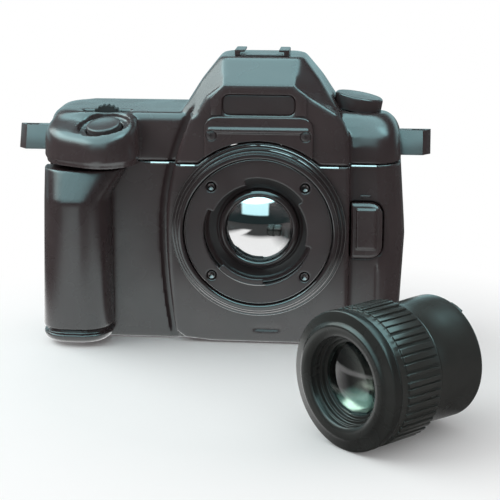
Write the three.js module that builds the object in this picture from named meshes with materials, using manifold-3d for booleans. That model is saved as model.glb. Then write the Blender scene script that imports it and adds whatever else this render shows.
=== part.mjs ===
import * as THREE from "three";
import { ConvexGeometry } from "three/addons/geometries/ConvexGeometry.js";
import { mergeVertices } from "three/addons/utils/BufferGeometryUtils.js";
import Module from "manifold-3d";

// Toy camera with its lens lying in front of it. Millimetres, +Z up, the camera faces -Y.
// The origin is on the base plane under the lens mount axis, midway between front and back plates.

// General sizes
const wall = 2.4; // moulded wall
const fit = 0.3; // gap between pieces that are fixed to each other
const run = 0.4; // gap round pieces that move
const edgeRound = 1.4; // rounding of the base edge

// Lens mount
const notchRadius = 20.3; // bayonet notches, outside
const tabReach = 2.3; // bayonet tabs, in from the notches
const plateBand = 7.2; // bayonet plate, out from the notches
const plateThick = 2.5;
const collarBand = 4.6; // width of the collar round the plate
const collarHeight = 4.4;
const collarMargin = 1.1; // collar to the housing's right edge
const mountScrewTurn = 44.16; // degrees of each mount screw from the level line
const tabSpan = 52; // degrees of each bayonet tab
const tabTurn = 10; // degrees of the first tab's middle
const tabThick = 0.8; // tabs are a thin lip at the plate's front
const domeRadius = 14.2; // clear part of the dome lens
const domeRise = 8.2; // height of the dome over its rim
const domeRim = 2.4; // thickness of the dome's rim
const seatDepth = 7.5; // length of the tube behind the housing wall
const clearBore = 11.5; // light hole behind the dome
const retainerRise = 5; // ring that holds the dome, over the dome's rim

// Body layout, worked outwards from the mount axis
const axisHeight = 44; // base to mount axis
const seamDrop = 7.9; // top cover's seam under the collar's top
const coverHeight = 18.2; // seam to the deck
const roofRise = 20.1; // deck to the hump's roof
const bodyDepth = 36; // front plate to back plate
const faceStep = 4.5; // housing face in front of the front plate
const housingSwell = 2.2; // housing's left edge beyond the collar, at the axis
const upperDraw = 10; // how far that edge draws in at the deck
const lowerDraw = 4; // how far it draws in at the base
const grooveWidth = 2.8; // shadow groove beside the housing
const grooveDepth = 1.2;
const plateWidth = 20.6; // flat plate between housing and grip
const plainWidth = 20.5; // housing's right edge to the plain end
const endSwell = 2; // how much the plain end draws in at the seam
const splitBack = 4; // joint of front and rear shells, behind the middle
const cornerRadius = 9;
const blockLap = 8; // deck and shoulder blocks reach past the middle
const bodyScrewReach = 7; // body screws past the shells' joint

// Grip and shutter boss
const gripWidth = 24.6;
const gripReach = 18; // front of the grip from the front plate, under the facet
const gripTaper = 2.8; // how far the grip draws back at its foot
const gripGap = 1.4; // top of the grip under the seam
const gripFacet = 11; // height of the sloping facet
const gripSetback = 5; // how far the facet slopes back
const gripFlare = 6.4; // how much wider the grip is at its top
const footFlare = 1.9; // how much further out the grip stands at its foot
const capHeight = 6.6; // end cap under the grip, with its neck
const neckHeight = 1.7;
const capLift = 1.1; // cap's underside over the base plane
const bossRadius = 15; // left round of the shutter boss
const dishLip = 3.6; // rim of the boss round the shutter's dish
const skirtDrop = 2.5; // neck of the boss over the seam
const slopeSide = 0.1; // shutter face, fall to the left
const slopeFront = 0.268; // shutter face, fall to the front
const shutterSide = 7.9; // shutter from the boss's left round, to the right
const shutterFront = 6; // shutter from the boss's left round, to the front
const shutterRadius = 6.4;
const dishRadius = 9.6;
const dishDepth = 2.2;
const shutterTravel = 2;
const shutterCoil = 3; // radius of the shutter's spring
const bracketDepth = 6; // shutter bracket behind the front plate

// Thumb wheel, knob and shoe
const wheelRadius = 6.4;
const wheelThick = 2.8;
const wheelShow = 2.2; // height of the wheel over the deck
const wheelSide = 7.3; // wheel from the boss's left round, to the right
const wheelBack = 5.8; // wheel's middle behind the front plate
const wheelRibs = 22;
const slotLength = 18;
const axleRadius = 1.1;
const knobRadius = 9;
const knobHeight = 5.4;
const knobTilt = 10; // degrees to the right
const knobInset = 18.8; // knob axis from the plain end
const knobBack = 2; // knob axis behind the middle
const shaftRadius = 3;
const shoeSpan = 16.4; // rail to rail, middle to middle
const shoeLength = 10;
const railWidth = 3.8;
const railHeight = 2.4;
const lipThick = 0.9; // lip of each rail over its slot

// Front panel, name plate and release button
const panelMargin = 2.7; // front panel beyond its screws
const panelThick = 1.3;
const nameWidth = 26.4;
const nameHeight = 7.2;
const nameRound = 2.4; // corners of the name plate
const nameThick = 1;
const releaseWidth = 11.6;
const releaseHeight = 20.8;
const releaseRise = 3.2; // button over the plate
const releaseDrop = 0.2; // button's middle over the mount axis
const releaseTravel = 1.8;
const panelRound = 4.5; // corners of the front panel
const dimpleLength = 10.5; // finger dimple under the mount
const dimpleHeight = 2.2;
const dimpleRise = 5; // base to the dimple
const dimpleSide = 3.05; // dimple's middle, to the right of the mount axis

// Finder and eyepiece
const finderWidth = 18; // finder tube, outside
const finderHeight = 8.4;
const finderWall = 1.2;
const tubeShow = 1.6; // finder tube behind the back plate
const eyeBand = 4; // eyepiece frame round the finder tube
const eyeDepth = 3.1; // eyepiece frame, front to back
const cupDepth = 2.6; // eyecup, front to back

// Strap lugs
const lugReachLeft = 14.8;
const lugReachRight = 10.8;
const lugHeight = 8.6;
const lugDepth = 8.4;
const lugSlotLong = 5.4;
const lugSlotWide = 4.4;

// Detached lens, lying on its ring
const lensRadius = 22.4; // bezel and focus ring
const rearStep = 2.3; // smooth rear barrel, in from the ring's outside
const rearLength = 20;
const ringLength = 17.7;
const bezelLength = 5.5;
const rimBand = 5; // sloped front rim of the bezel
const mouthLip = 1.4; // lip of the bezel in front of the steps
const rimDrop = 1.8; // how far the rim slopes back
const ringRibs = 54;
const ribDepth = 0.7;
const ringWall = 4.2; // ring's outside to the tube under it
const tubeWall = 2.6; // tube under the focus ring
const coneBand = 3.6; // steps round the front element
const coneDepth = 4.2; // front of the steps to the glass
const spigotLength = 2; // rear spigot that plugs into the mount
const nibRise = 0.7; // nibs on the spigot, caught by the tabs
const lensTurn = 44.8; // degrees of the lens axis from straight forward
const lensSide = 33.84; // front rim, to the right of the mount axis
const lensAhead = 128.37; // front rim, in front of the body's middle

// Sizes that follow from those above
const frontY = -bodyDepth / 2;
const backY = bodyDepth / 2;
const faceY = frontY - faceStep;
const throatRadius = notchRadius - tabReach;
const plateRadius = notchRadius + plateBand;
const mountScrewRing = notchRadius + 0.53 * plateBand;
const mountScrewAngle = THREE.MathUtils.degToRad(mountScrewTurn);
const mountScrewSide = mountScrewRing * Math.cos(mountScrewAngle);
const mountScrewRise = mountScrewRing * Math.sin(mountScrewAngle);
const collarRadius = plateRadius + fit + collarBand;
const seamZ = axisHeight + collarRadius - seamDrop;
const deckZ = seamZ + coverHeight;
const roofZ = deckZ + roofRise;
const tongueRadius = collarRadius + 0.8;
const housingRight = collarRadius + collarMargin;
const housingLeft = collarRadius + housingSwell;
const plainEnd = housingRight + plainWidth;
const gripRight = -(housingLeft + plateWidth);
const gripEnd = gripRight - gripWidth;
const bodyLeft = gripEnd + 1;
const bossX = gripEnd + bossRadius;
const bossY = frontY - 0.5;
const shutterX = bossX + shutterSide;
const shutterY = bossY - shutterFront;
const shutterZ = deckZ - 2.8;
const capeRadius = dishRadius + dishLip; // right round of the shutter boss

const wasm = await Module();
wasm.setup();

// A closed geometry as a solid that can be joined and cut.
function solid(geometry) {
  const bare = geometry.index ? geometry.toNonIndexed() : geometry;
  const loose = new THREE.BufferGeometry();
  loose.setAttribute("position", bare.getAttribute("position"));
  const merged = mergeVertices(loose, 1e-4);
  const p = merged.attributes.position.array;
  const index = merged.index.array;
  const kept = [];
  let volume = 0;
  for (let i = 0; i < index.length; i += 3) {
    const [a, b, c] = [index[i], index[i + 1], index[i + 2]];
    if (a === b || b === c || c === a) continue;
    kept.push(a, b, c);
    const va = new THREE.Vector3().fromArray(p, a * 3);
    const vb = new THREE.Vector3().fromArray(p, b * 3);
    const vc = new THREE.Vector3().fromArray(p, c * 3);
    volume += va.dot(vb.cross(vc));
  }
  if (volume < 0) kept.reverse();
  const triVerts = new Uint32Array(kept);
  return new wasm.Manifold(new wasm.Mesh({ numProp: 3, vertProperties: p, triVerts }));
}

// A solid back as geometry for a mesh.
function shapeOf(made) {
  const mesh = made.getMesh();
  const points = new Float32Array(mesh.numVert * 3);
  for (let i = 0; i < mesh.numVert; i++) {
    const start = i * mesh.numProp;
    points.set(mesh.vertProperties.subarray(start, start + 3), i * 3);
  }
  const geometry = new THREE.BufferGeometry();
  geometry.setAttribute("position", new THREE.BufferAttribute(points, 3));
  geometry.setIndex(new THREE.BufferAttribute(new Uint32Array(mesh.triVerts), 1));
  return geometry;
}

const join = (first, ...rest) => rest.reduce((sum, next) => sum.add(next), first);
const cut = (first, ...rest) => rest.reduce((left, next) => left.subtract(next), first);

// Box between two corners.
function block(x0, x1, y0, y1, z0, z1) {
  const box = new THREE.BoxGeometry(x1 - x0, y1 - y0, z1 - z0);
  box.translate((x0 + x1) / 2, (y0 + y1) / 2, (z0 + z1) / 2);
  return solid(box);
}

// Round bar along Y through (x, z), along Z through (x, y).
function barY(x, z, radius, y0, y1, sides = 24) {
  const bar = new THREE.CylinderGeometry(radius, radius, y1 - y0, sides);
  bar.translate(x, (y0 + y1) / 2, z);
  return solid(bar);
}

function barZ(x, y, radius, z0, z1, sides = 24) {
  const bar = new THREE.CylinderGeometry(radius, radius, z1 - z0, sides);
  bar.rotateX(Math.PI / 2);
  bar.translate(x, y, (z0 + z1) / 2);
  return solid(bar);
}

function extruded(shape, length, edge) {
  return new THREE.ExtrudeGeometry(shape, {
    depth: length - 2 * edge,
    bevelEnabled: edge > 0,
    bevelThickness: edge,
    bevelSize: edge,
    bevelOffset: -edge,
    bevelSegments: 1,
    curveSegments: 2,
  }).translate(0, 0, edge);
}

// An outline in X and Z, carried from y0 to y1, with its end edges eased.
function slabY(shape, y0, y1, edge = 0) {
  const slab = extruded(shape, y1 - y0, edge);
  slab.rotateX(Math.PI / 2);
  slab.translate(0, y1, 0);
  return solid(slab);
}

// An outline in X and Y, carried from z0 to z1.
function slabZ(shape, z0, z1, edge = 0) {
  return solid(extruded(shape, z1 - z0, edge).translate(0, 0, z0));
}

function outline(points) {
  return new THREE.Shape(points.map(([x, y]) => new THREE.Vector2(x, y)));
}

// Rounded rectangle as a shape.
function roundedRect(x0, x1, y0, y1, r) {
  const s = new THREE.Shape();
  s.moveTo(x0 + r, y0);
  s.lineTo(x1 - r, y0);
  s.absarc(x1 - r, y0 + r, r, -Math.PI / 2, 0, false);
  s.lineTo(x1, y1 - r);
  s.absarc(x1 - r, y1 - r, r, 0, Math.PI / 2, false);
  s.lineTo(x0 + r, y1);
  s.absarc(x0 + r, y1 - r, r, Math.PI / 2, Math.PI, false);
  s.lineTo(x0, y0 + r);
  s.absarc(x0 + r, y0 + r, r, Math.PI, 1.5 * Math.PI, false);
  return s;
}

// Ring turned from a closed profile of [radius, height] points about the Z axis.
function turned(profile, sides = 48) {
  const points = profile.map(([r, h]) => new THREE.Vector2(r, h));
  points.push(points[0].clone());
  return new THREE.LatheGeometry(points, sides).rotateX(Math.PI / 2);
}

// Body turned from an open profile that starts and ends on the Z axis.
function spun(profile, sides = 48) {
  const points = profile.map(([r, h]) => new THREE.Vector2(r, h));
  return new THREE.LatheGeometry(points, sides).rotateX(Math.PI / 2);
}

// Heights in a profile become distances in front of the camera, on the mount axis.
function onMount(geometry) {
  return solid(geometry.rotateX(Math.PI / 2).translate(0, 0, axisHeight));
}

// One level of a rounded block: corner radii are front left, front right, back right, back left.
function level(x0, x1, y0, y1, z, radii) {
  const corners = [
    [x0, y0, 1, 1, Math.PI],
    [x1, y0, -1, 1, 1.5 * Math.PI],
    [x1, y1, -1, -1, 0],
    [x0, y1, 1, -1, 0.5 * Math.PI],
  ];
  const points = [];
  corners.forEach(([x, y, sx, sy, start], i) => {
    const r = Math.max(radii[i], 0.2);
    for (let k = 0; k <= 4; k++) {
      const a = start + (k / 4) * (Math.PI / 2);
      const px = x + sx * r + r * Math.cos(a);
      const py = y + sy * r + r * Math.sin(a);
      points.push(new THREE.Vector3(px, py, z));
    }
  });
  return points;
}

const hull = (...rings) => solid(new ConvexGeometry(rings.flat()));

// Materials
function plastic(color, roughness = 0.45) {
  return new THREE.MeshStandardMaterial({ color, roughness, metalness: 0 });
}

function metal(color, roughness = 0.35) {
  return new THREE.MeshStandardMaterial({ color, roughness, metalness: 1 });
}

function clear(color) {
  const look = { color, roughness: 0.04, metalness: 0, transparent: true, opacity: 0.45 };
  return new THREE.MeshStandardMaterial(look);
}

const bodyBlack = 0x2b2624;
const deepBlack = 0x1c1a1a;
const lensBlack = 0x20211f;

const camera = new THREE.Group();

function add(name, made, material, parent = camera) {
  const mesh = new THREE.Mesh(shapeOf(made), material);
  mesh.name = name;
  parent.add(mesh);
  return mesh;
}

// Lower body: a rounded block whose plain end swells, drawn in at the base edge.
function lowerBlock(inset) {
  const r = Math.max(cornerRadius - inset, 1);
  const radii = [1.6, r, r, r];
  const rows = [
    [0, edgeRound, 0.1],
    [0.3 * edgeRound, 0.3 * edgeRound, 0.08],
    [edgeRound, 0, 0.05],
    [0.25 * seamZ, 0, 0.3],
    [0.6 * seamZ, 0, 1],
    [seamZ, 0, 0],
  ];
  const rings = rows.map(([z, draw, swell], i) => {
    const top = i === rows.length - 1;
    const height = inset ? (top ? z + 6 : z + inset) : z;
    const trim = inset + draw;
    const right = plainEnd - endSwell * (1 - swell) - trim;
    return level(bodyLeft + trim, right, frontY + trim, backY - trim, height, radii);
  });
  return hull(...rings);
}

// Left edge of the housing at a height.
function housingEdge(z) {
  const up = (z - axisHeight) / (deckZ - axisHeight);
  const down = (axisHeight - z) / axisHeight;
  const draw = z > axisHeight ? upperDraw * up * up : lowerDraw * down * down;
  return -housingLeft + draw;
}

// Outline of the housing's front face, with the name plate zone above the deck.
const nameTop = deckZ + 0.586 * roofRise;
const nameShoulder = deckZ + 0.346 * roofRise;
const edgeHigh = deckZ - 1;
const edgeLow = 4.4;

function housingShape(inset) {
  const right = housingRight - inset;
  const left = (z) => housingEdge(z) + inset;
  const floor = 0.4 + inset;
  const points = [
    [left(edgeLow) + 3.6, floor + 1.2],
    [-0.5 * housingLeft, floor + 0.2],
    [right - 3, floor],
    [right - 0.8, floor + 0.8],
    [right, floor + 3],
    [right, seamZ + 2],
    [right - 0.7, deckZ - 0.365 * coverHeight],
    [right - 2.4, deckZ - 2.4],
    [right - 5, deckZ + 1.2 - inset],
    [0.57 * housingRight - 0.5 * inset, nameShoulder - inset],
    [0.38 * housingRight - 0.3 * inset, nameTop - inset],
    [-0.38 * housingRight + 0.3 * inset, nameTop - inset],
    [-0.57 * housingRight + 0.5 * inset, nameShoulder - inset],
    [left(edgeHigh) + 2.4, deckZ + 1 - inset],
  ];
  const steps = 14;
  for (let k = 0; k <= steps; k++) {
    const z = edgeHigh + ((edgeLow + inset - edgeHigh) * k) / steps;
    points.push([left(z), z]);
  }
  return outline(points);
}

const housing = slabY(housingShape(0), faceY, frontY + wall, 1);
const housingHollow = slabY(housingShape(wall), faceY + wall, frontY + 2 * wall);

// Shadow groove beside the housing.
function grooveShape() {
  const points = [];
  const steps = 16;
  for (let k = 0; k <= steps; k++) {
    const z = -1 + ((deckZ + 3) * k) / steps;
    points.push([housingEdge(z) + 0.4, z]);
  }
  for (let k = steps; k >= 0; k--) {
    const z = -1 + ((deckZ + 3) * k) / steps;
    points.push([housingEdge(z) - grooveWidth, z]);
  }
  return outline(points);
}

const groove = slabY(grooveShape(), frontY - 0.4, frontY + grooveDepth);
const far = 400;
const belowSeam = block(-far, far, -far, far, -far, seamZ);
const aboveSeam = block(-far, far, -far, far, seamZ + fit, far);
const tongue = barY(0, axisHeight, tongueRadius, faceY - 5, frontY + wall, 64);
const tongueHole = barY(0, axisHeight, tongueRadius + fit, faceY - 5, far, 64);
const frontHalf = block(-far, far, -far, splitBack, -far, far);
const rearHalf = block(-far, far, splitBack + fit, far, -far, far);

// Places of the four screws that hold the shells together, from the back.
const bodyScrewRadius = 1.2;
const bodyHeadRadius = 2.6;
const bodyScrewPlaces = [
  [bodyLeft + cornerRadius, cornerRadius + 1],
  [bodyLeft + cornerRadius, seamZ - 2 * wall],
  [plainEnd - cornerRadius, cornerRadius + 1],
  [housingRight - bodyHeadRadius - wall, seamZ - 2 * wall],
];
const bodyPillarRadius = bodyHeadRadius + 1.1;
const bodyHeadY = backY - 0.4;
const bodyHeadThick = 1.5;
const bodyScrewTip = splitBack - bodyScrewReach;

// Release button, a D whose flat side is next to the housing.
const releaseX0 = housingRight + 0.6;
const releaseX1 = releaseX0 + releaseWidth;
const releaseZ0 = axisHeight + releaseDrop - releaseHeight / 2;
const releaseZ1 = releaseZ0 + releaseHeight;
const releaseFlange = 1.2; // flange above and below the button

function releaseShape(grow) {
  const s = new THREE.Shape();
  const [x0, x1] = [releaseX0 - grow, releaseX1 + grow];
  const [z0, z1] = [releaseZ0 - grow, releaseZ1 + grow];
  const r = 4.5 + grow;
  s.moveTo(x0, z0);
  s.lineTo(x1 - r, z0);
  s.absarc(x1 - r, z0 + r, r, -Math.PI / 2, 0, false);
  s.lineTo(x1, z1 - r);
  s.absarc(x1 - r, z1 - r, r, 0, Math.PI / 2, false);
  s.lineTo(x0, z1);
  return s;
}

// Front shell
const releaseMid = (releaseX0 + releaseX1) / 2;
const releaseFlangeThick = 1.4;
const ribY = frontY + wall + fit + releaseFlangeThick + 3.7 * releaseTravel;
const ribHalf = 5;
const mountWallHole = barY(0, axisHeight, notchRadius + 0.9, faceY - 5, frontY + 3 * wall, 64);
const mountScrewPlaces = [
  [-mountScrewSide, axisHeight + mountScrewRise],
  [mountScrewSide, axisHeight + mountScrewRise],
  [-mountScrewSide, axisHeight - mountScrewRise],
  [mountScrewSide, axisHeight - mountScrewRise],
];
const mountScrewRadius = 1.1;
const smallHeadRadius = 1.7;
const smallHeadThick = 1.1;
const mountScrewTip = faceY + wall + 4;

const lowerOuter = lowerBlock(0);
const lowerInner = lowerBlock(wall);
let frontShell = join(
  lowerOuter.intersect(frontHalf),
  housing.intersect(belowSeam),
  housing.intersect(tongue),
);
frontShell = cut(frontShell, lowerInner, housingHollow, groove);
const ribReach = block(
  releaseMid - ribHalf, plainEnd + 5,
  ribY, ribY + 1.6,
  releaseZ0 + releaseHeight / 2 - ribHalf, releaseZ0 + releaseHeight / 2 + ribHalf,
);
frontShell = join(frontShell, ribReach.intersect(lowerOuter).intersect(frontHalf));
bodyScrewPlaces.forEach(([x, z]) => {
  const pillar = barY(x, z, bodyPillarRadius - 0.4, frontY + 0.5, splitBack, 16);
  const pilot = barY(x, z, bodyScrewRadius + 0.1, bodyScrewTip - 0.6, splitBack + 1, 12);
  frontShell = cut(join(frontShell, pillar.intersect(lowerOuter)), pilot);
});
mountScrewPlaces.forEach(([x, z]) => {
  frontShell = cut(frontShell, barY(x, z, mountScrewRadius + 0.25, faceY - 1, frontY + wall, 12));
});
const dimple = slabY(
  roundedRect(
    dimpleSide - dimpleLength / 2, dimpleSide + dimpleLength / 2,
    dimpleRise, dimpleRise + dimpleHeight, 0.45 * dimpleHeight,
  ),
  faceY - 1, faceY + 0.6,
);
const panelLine = block(
  releaseX1 - 2.4, releaseX1 - 1.5,
  frontY - 1, frontY + 0.8,
  -1, releaseZ0 - 2.6,
);
const releaseHole = slabY(releaseShape(run), frontY - 1, frontY + wall + 1);
frontShell = cut(frontShell, mountWallHole, releaseHole, dimple, panelLine);
add("front_shell", frontShell, plastic(bodyBlack));

// Rear shell with its screw pillars and sunk screw heads.
let rearShell = cut(lowerOuter, lowerInner).intersect(rearHalf);
bodyScrewPlaces.forEach(([x, z]) => {
  const pillar = barY(x, z, bodyPillarRadius, splitBack + fit, backY - 0.5, 16);
  const hole = barY(x, z, bodyScrewRadius + 0.3, splitBack - 1, backY + 1, 12);
  const sink = barY(x, z, bodyHeadRadius + fit, bodyHeadY - bodyHeadThick - fit, backY + 1, 16);
  rearShell = cut(join(rearShell, pillar.intersect(lowerOuter)), hole, sink);
});
add("rear_shell", rearShell, plastic(bodyBlack));

// Screw along Y with its slotted head facing the front or the back.
function screwAlongY(x, z, headY, tipY, headRadius, headThick, radius) {
  const toBack = headY > tipY;
  const inner = toBack ? headY - headThick : headY + headThick;
  const head = barY(x, z, headRadius, Math.min(headY, inner), Math.max(headY, inner), 12);
  const shank = barY(x, z, radius, Math.min(inner, tipY) - 0.01, Math.max(inner, tipY) + 0.01, 8);
  const slotDepth = 0.4 * headThick;
  const slot = toBack
    ? block(x - far, x + far, headY - slotDepth, headY + 1, z - 0.25, z + 0.25)
    : block(x - far, x + far, headY - 1, headY + slotDepth, z - 0.25, z + 0.25);
  const bar = toBack
    ? block(x - 0.25, x + 0.25, headY - slotDepth, headY + 1, z - far, z + far)
    : block(x - 0.25, x + 0.25, headY - 1, headY + slotDepth, z - far, z + far);
  const reach = barY(x, z, 0.7 * headRadius, headY - 2, headY + 2, 8);
  return cut(join(head, shank), slot.intersect(reach), bar.intersect(reach));
}

bodyScrewPlaces.forEach(([x, z], i) => {
  const r = bodyHeadRadius;
  const screw = screwAlongY(x, z, bodyHeadY, bodyScrewTip, r, bodyHeadThick, bodyScrewRadius);
  add(`body_screw_${i + 1}`, screw, metal(0x8d8d8a));
});

// Top cover: deck, plain shoulder, shutter boss and finder hump, joined and hollowed alike.
function deckBlock(inset) {
  const rows = [
    [0, 0, 0],
    [0.7 * coverHeight, -0.35, 0],
    [0.86 * coverHeight, -0.2, 0.2],
    [0.94 * coverHeight, 0.8, 0.8],
    [0.98 * coverHeight, 2.2, 1.6],
    [coverHeight, 4.2, 3],
  ];
  const rings = rows.map(([rise, left, front], i) => {
    const z = seamZ + rise - (i ? inset : 6 * Math.sign(inset));
    const x0 = bodyLeft + left + inset;
    const r = Math.max(cornerRadius - inset, 1);
    const [y0, y1] = [frontY + front + inset, backY - front - inset];
    return level(x0, blockLap - inset, y0, y1, z, [r, 0.3, 0.3, r]);
  });
  return hull(...rings);
}

function shoulderBlock(inset) {
  const rows = [
    [0, 0, 0],
    [0.34 * coverHeight, 0, 0.2],
    [0.56 * coverHeight, 0.4, 1.3],
    [0.76 * coverHeight, 2, 3.7],
    [0.9 * coverHeight, 4.4, 6.7],
    [0.97 * coverHeight, 6.6, 9.1],
    [coverHeight, 9, 11.6],
  ];
  const rings = rows.map(([rise, side, draw], i) => {
    const z = seamZ + rise - (i ? inset : 6 * Math.sign(inset));
    const trim = side + inset;
    const r = Math.max(cornerRadius - inset, 1);
    const right = plainEnd - endSwell - trim;
    const [y0, y1] = [frontY + draw + inset, backY - draw - inset];
    return level(-blockLap + inset, right, y0, y1, z, [0.3, r, r, 0.3]);
  });
  return hull(...rings);
}

const shutterPlane = (x, y) =>
  shutterZ + slopeSide * (x - shutterX) + slopeFront * (y - shutterY);

// Plan of the boss: a left round and a right round about the shutter, drawn in alike.
function bossPlan(draw) {
  const points = [];
  for (let k = 0; k < 32; k++) {
    const a = (k / 32) * 2 * Math.PI;
    const [c, s] = [Math.cos(a), Math.sin(a)];
    points.push([bossX + (bossRadius - draw) * c, bossY + (bossRadius - draw) * s]);
    points.push([shutterX + (capeRadius - draw) * c, shutterY + (capeRadius - draw) * s]);
  }
  return points;
}

// Boss under the shutter: that plan with a sloping top.
function bossBlock(inset) {
  const rows = inset
    ? [[inset, null], [inset, 3.2 + dishDepth], [inset + 3, dishDepth + wall + 0.4]]
    : [[0, null], [0, 3.4], [0.5, 1.5], [1.5, 0.4], [3, 0]];
  const rings = rows.map(([draw, drop]) =>
    bossPlan(draw).map(([x, y]) => {
      const low = seamZ + (inset ? -6 : skirtDrop);
      const high = Math.min(shutterPlane(x, y), deckZ - 0.4);
      return new THREE.Vector3(x, y, drop === null ? low : high - drop);
    }),
  );
  return hull(...rings);
}

// Finder hump: eight-sided levels, roof sloping back from the name plate.
function humpLevel(z, front, wide, fore, aft, rear, half) {
  const points = [
    [-front, -fore], [front, -fore], [wide, -half], [wide, half],
    [rear, aft], [-rear, aft], [-wide, half], [-wide, -half],
  ];
  return points.map(([x, y]) => new THREE.Vector3(x, y, z));
}

function humpBlock(inset) {
  const fore = -faceY - 1 - inset;
  const wide = housingRight - 4;
  const base = inset ? seamZ - 6 : seamZ + 4;
  const i = inset;
  return hull(
    humpLevel(base, 0.8 * wide - i, wide - i, fore, backY + 1 - i, 0.78 * wide - i, 14 - i),
    humpLevel(deckZ, 0.8 * wide - i, wide - i, fore, backY + 1 - i, 0.78 * wide - i, 14 - i),
    humpLevel(nameTop - i, 0.43 * wide - i, 0.75 * wide - i, fore, backY - 1 - i, 0.56 * wide - i, 11 - i),
    humpLevel(roofZ - i, 0.46 * wide - i, 0.525 * wide - i, 0.5 * fore, backY - 6 - i, 0.42 * wide - i, 8 - i),
  );
}

const bossLevel = (draw, z) => bossPlan(draw).map(([x, y]) => new THREE.Vector3(x, y, z));
const neckBlock = hull(bossLevel(0.7, seamZ + fit), bossLevel(0.7, seamZ + skirtDrop + 4));
let cover = join(
  deckBlock(0), shoulderBlock(0), bossBlock(0), humpBlock(0), neckBlock, housing,
);
cover = cut(
  cover.intersect(aboveSeam),
  deckBlock(wall), shoulderBlock(wall), bossBlock(wall), humpBlock(wall), housingHollow,
  tongueHole.intersect(block(-far, far, -far, frontY + 2 * wall, -far, far)),
  groove,
);

// Tilted frames for the shutter and the knob.
function frameAt(x, y, z, normal) {
  const group = new THREE.Group();
  group.position.set(x, y, z);
  group.quaternion.setFromUnitVectors(new THREE.Vector3(0, 0, 1), normal);
  group.updateMatrix();
  return group;
}

const shutterNormal = new THREE.Vector3(-slopeSide, -slopeFront, 1).normalize();
const shutterFrame = frameAt(shutterX, shutterY, shutterZ, shutterNormal);
const knobAngle = THREE.MathUtils.degToRad(knobTilt);
const knobNormal = new THREE.Vector3(Math.sin(knobAngle), 0, Math.cos(knobAngle));
const knobX = plainEnd - knobInset;
const knobFrame = frameAt(knobX, knobBack, deckZ - 0.6, knobNormal);
camera.add(shutterFrame, knobFrame);

// Bar along a tilted frame's own Z axis, in the camera's frame.
function barIn(frame, radius, z0, z1, sides = 32) {
  const bar = new THREE.CylinderGeometry(radius, radius, z1 - z0, sides);
  bar.rotateX(Math.PI / 2);
  bar.translate(0, 0, (z0 + z1) / 2);
  return solid(bar.applyMatrix4(frame.matrix));
}

const barOwn = (radius, z0, z1, sides = 32) => barZ(0, 0, radius, z0, z1, sides);

const shutterFlange = 0.9;
const flangeTop = -(dishDepth + wall + 0.9);
const dish = barIn(shutterFrame, dishRadius, -dishDepth, far, 40);
const shutterHole = barIn(shutterFrame, shutterRadius + run, -dishDepth - 2.7 * wall, far, 32);
const knobPocket = barIn(knobFrame, knobRadius + 0.5, -fit, far, 40);
const knobHole = barIn(knobFrame, shaftRadius + run, -5 * wall, far, 20);

// Wheel slot in the deck.
const wheelX = bossX + wheelSide;
const wheelY = frontY + wheelBack;
const wheelZ = deckZ + wheelShow - wheelRadius;
const wheelSlot = slabZ(
  roundedRect(
    wheelX - slotLength / 2, wheelX + slotLength / 2,
    wheelY - wheelThick / 2 - run, wheelY + wheelThick / 2 + run, 0.6,
  ),
  deckZ - wall - 4, deckZ + 5,
);

// Name plate pocket and front panel.
const nameZ0 = deckZ + 0.6;
const nameZ1 = nameZ0 + nameHeight;
const namePocket = slabY(
  roundedRect(-nameWidth / 2 - fit, nameWidth / 2 + fit, nameZ0 - fit, nameZ1 + fit, nameRound + fit),
  faceY - 2, faceY + 1.2,
);
const panelTop = deckZ;
const panelReach = Math.sqrt((tongueRadius + 6.5) ** 2 - mountScrewSide ** 2);
const panelScrewPlaces = [
  [-mountScrewSide, axisHeight + panelReach],
  [mountScrewSide, axisHeight + panelReach],
];
const panelScrewTip = faceY + wall + 3;
panelScrewPlaces.forEach(([x, z]) => {
  cover = cut(cover, barY(x, z, mountScrewRadius + 0.25, faceY - 1, frontY + 2 * wall, 12));
});

// Lug roots and eyepiece opening.
const lugZ = seamZ + 5.6;
const lugY = 0.4;
const lugTenon = 3.4; // square root of the lug through the cover's wall
const rightEndX = plainEnd - endSwell;
const lugHoles = block(
  bodyLeft - 5, rightEndX + 5,
  lugY - lugTenon / 2 - fit, lugY + lugTenon / 2 + fit,
  lugZ - lugTenon / 2 - fit, lugZ + lugTenon / 2 + fit,
);
const finderHalf = finderWidth / 2;
const finderZ0 = deckZ + 1;
const finderZ1 = finderZ0 + finderHeight;
const eyeHole = block(
  -finderHalf - fit, finderHalf + fit, backY - 3 * wall, far, finderZ0 - fit, finderZ1 + fit,
);
cover = cut(cover, dish, shutterHole, knobPocket, knobHole, wheelSlot, namePocket, lugHoles, eyeHole);

// Tongues under the cover that reach behind the lower walls.
function coverTongue(x) {
  const face = bodyDepth / 2 - wall;
  const slab = block(x - 4, x + 4, face - fit - 1.5, face - fit, seamZ - 4, seamZ + 6);
  const root = block(x - 4, x + 4, face - fit - 1.5, face + 1, seamZ + 2.4, seamZ + 6);
  return join(slab, root);
}
cover = join(
  cover,
  coverTongue(-0.6 * housingLeft - plateWidth),
  coverTongue(0.3 * housingRight),
);
add("top_cover", cover, plastic(bodyBlack));

// Grip: a D in plan, with a sloping facet at the top and an open back.
const gripMid = (gripEnd + gripRight) / 2;
const gripBackY = frontY - fit;

function gripLevel(z, half, mid, reach, inset) {
  const points = [];
  for (let k = 0; k <= 20; k++) {
    const a = (k / 20) * Math.PI;
    const c = Math.cos(a);
    const s = Math.sin(a);
    const x = mid + (half - inset) * Math.sign(c) * Math.abs(c) ** 0.72;
    const y = gripBackY - (reach - inset) * s ** 0.72;
    points.push(new THREE.Vector3(x, y, z));
  }
  if (inset) {
    points.push(new THREE.Vector3(mid + half - inset, gripBackY + 4, z));
    points.push(new THREE.Vector3(mid - half + inset, gripBackY + 4, z));
  }
  return points;
}

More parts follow.
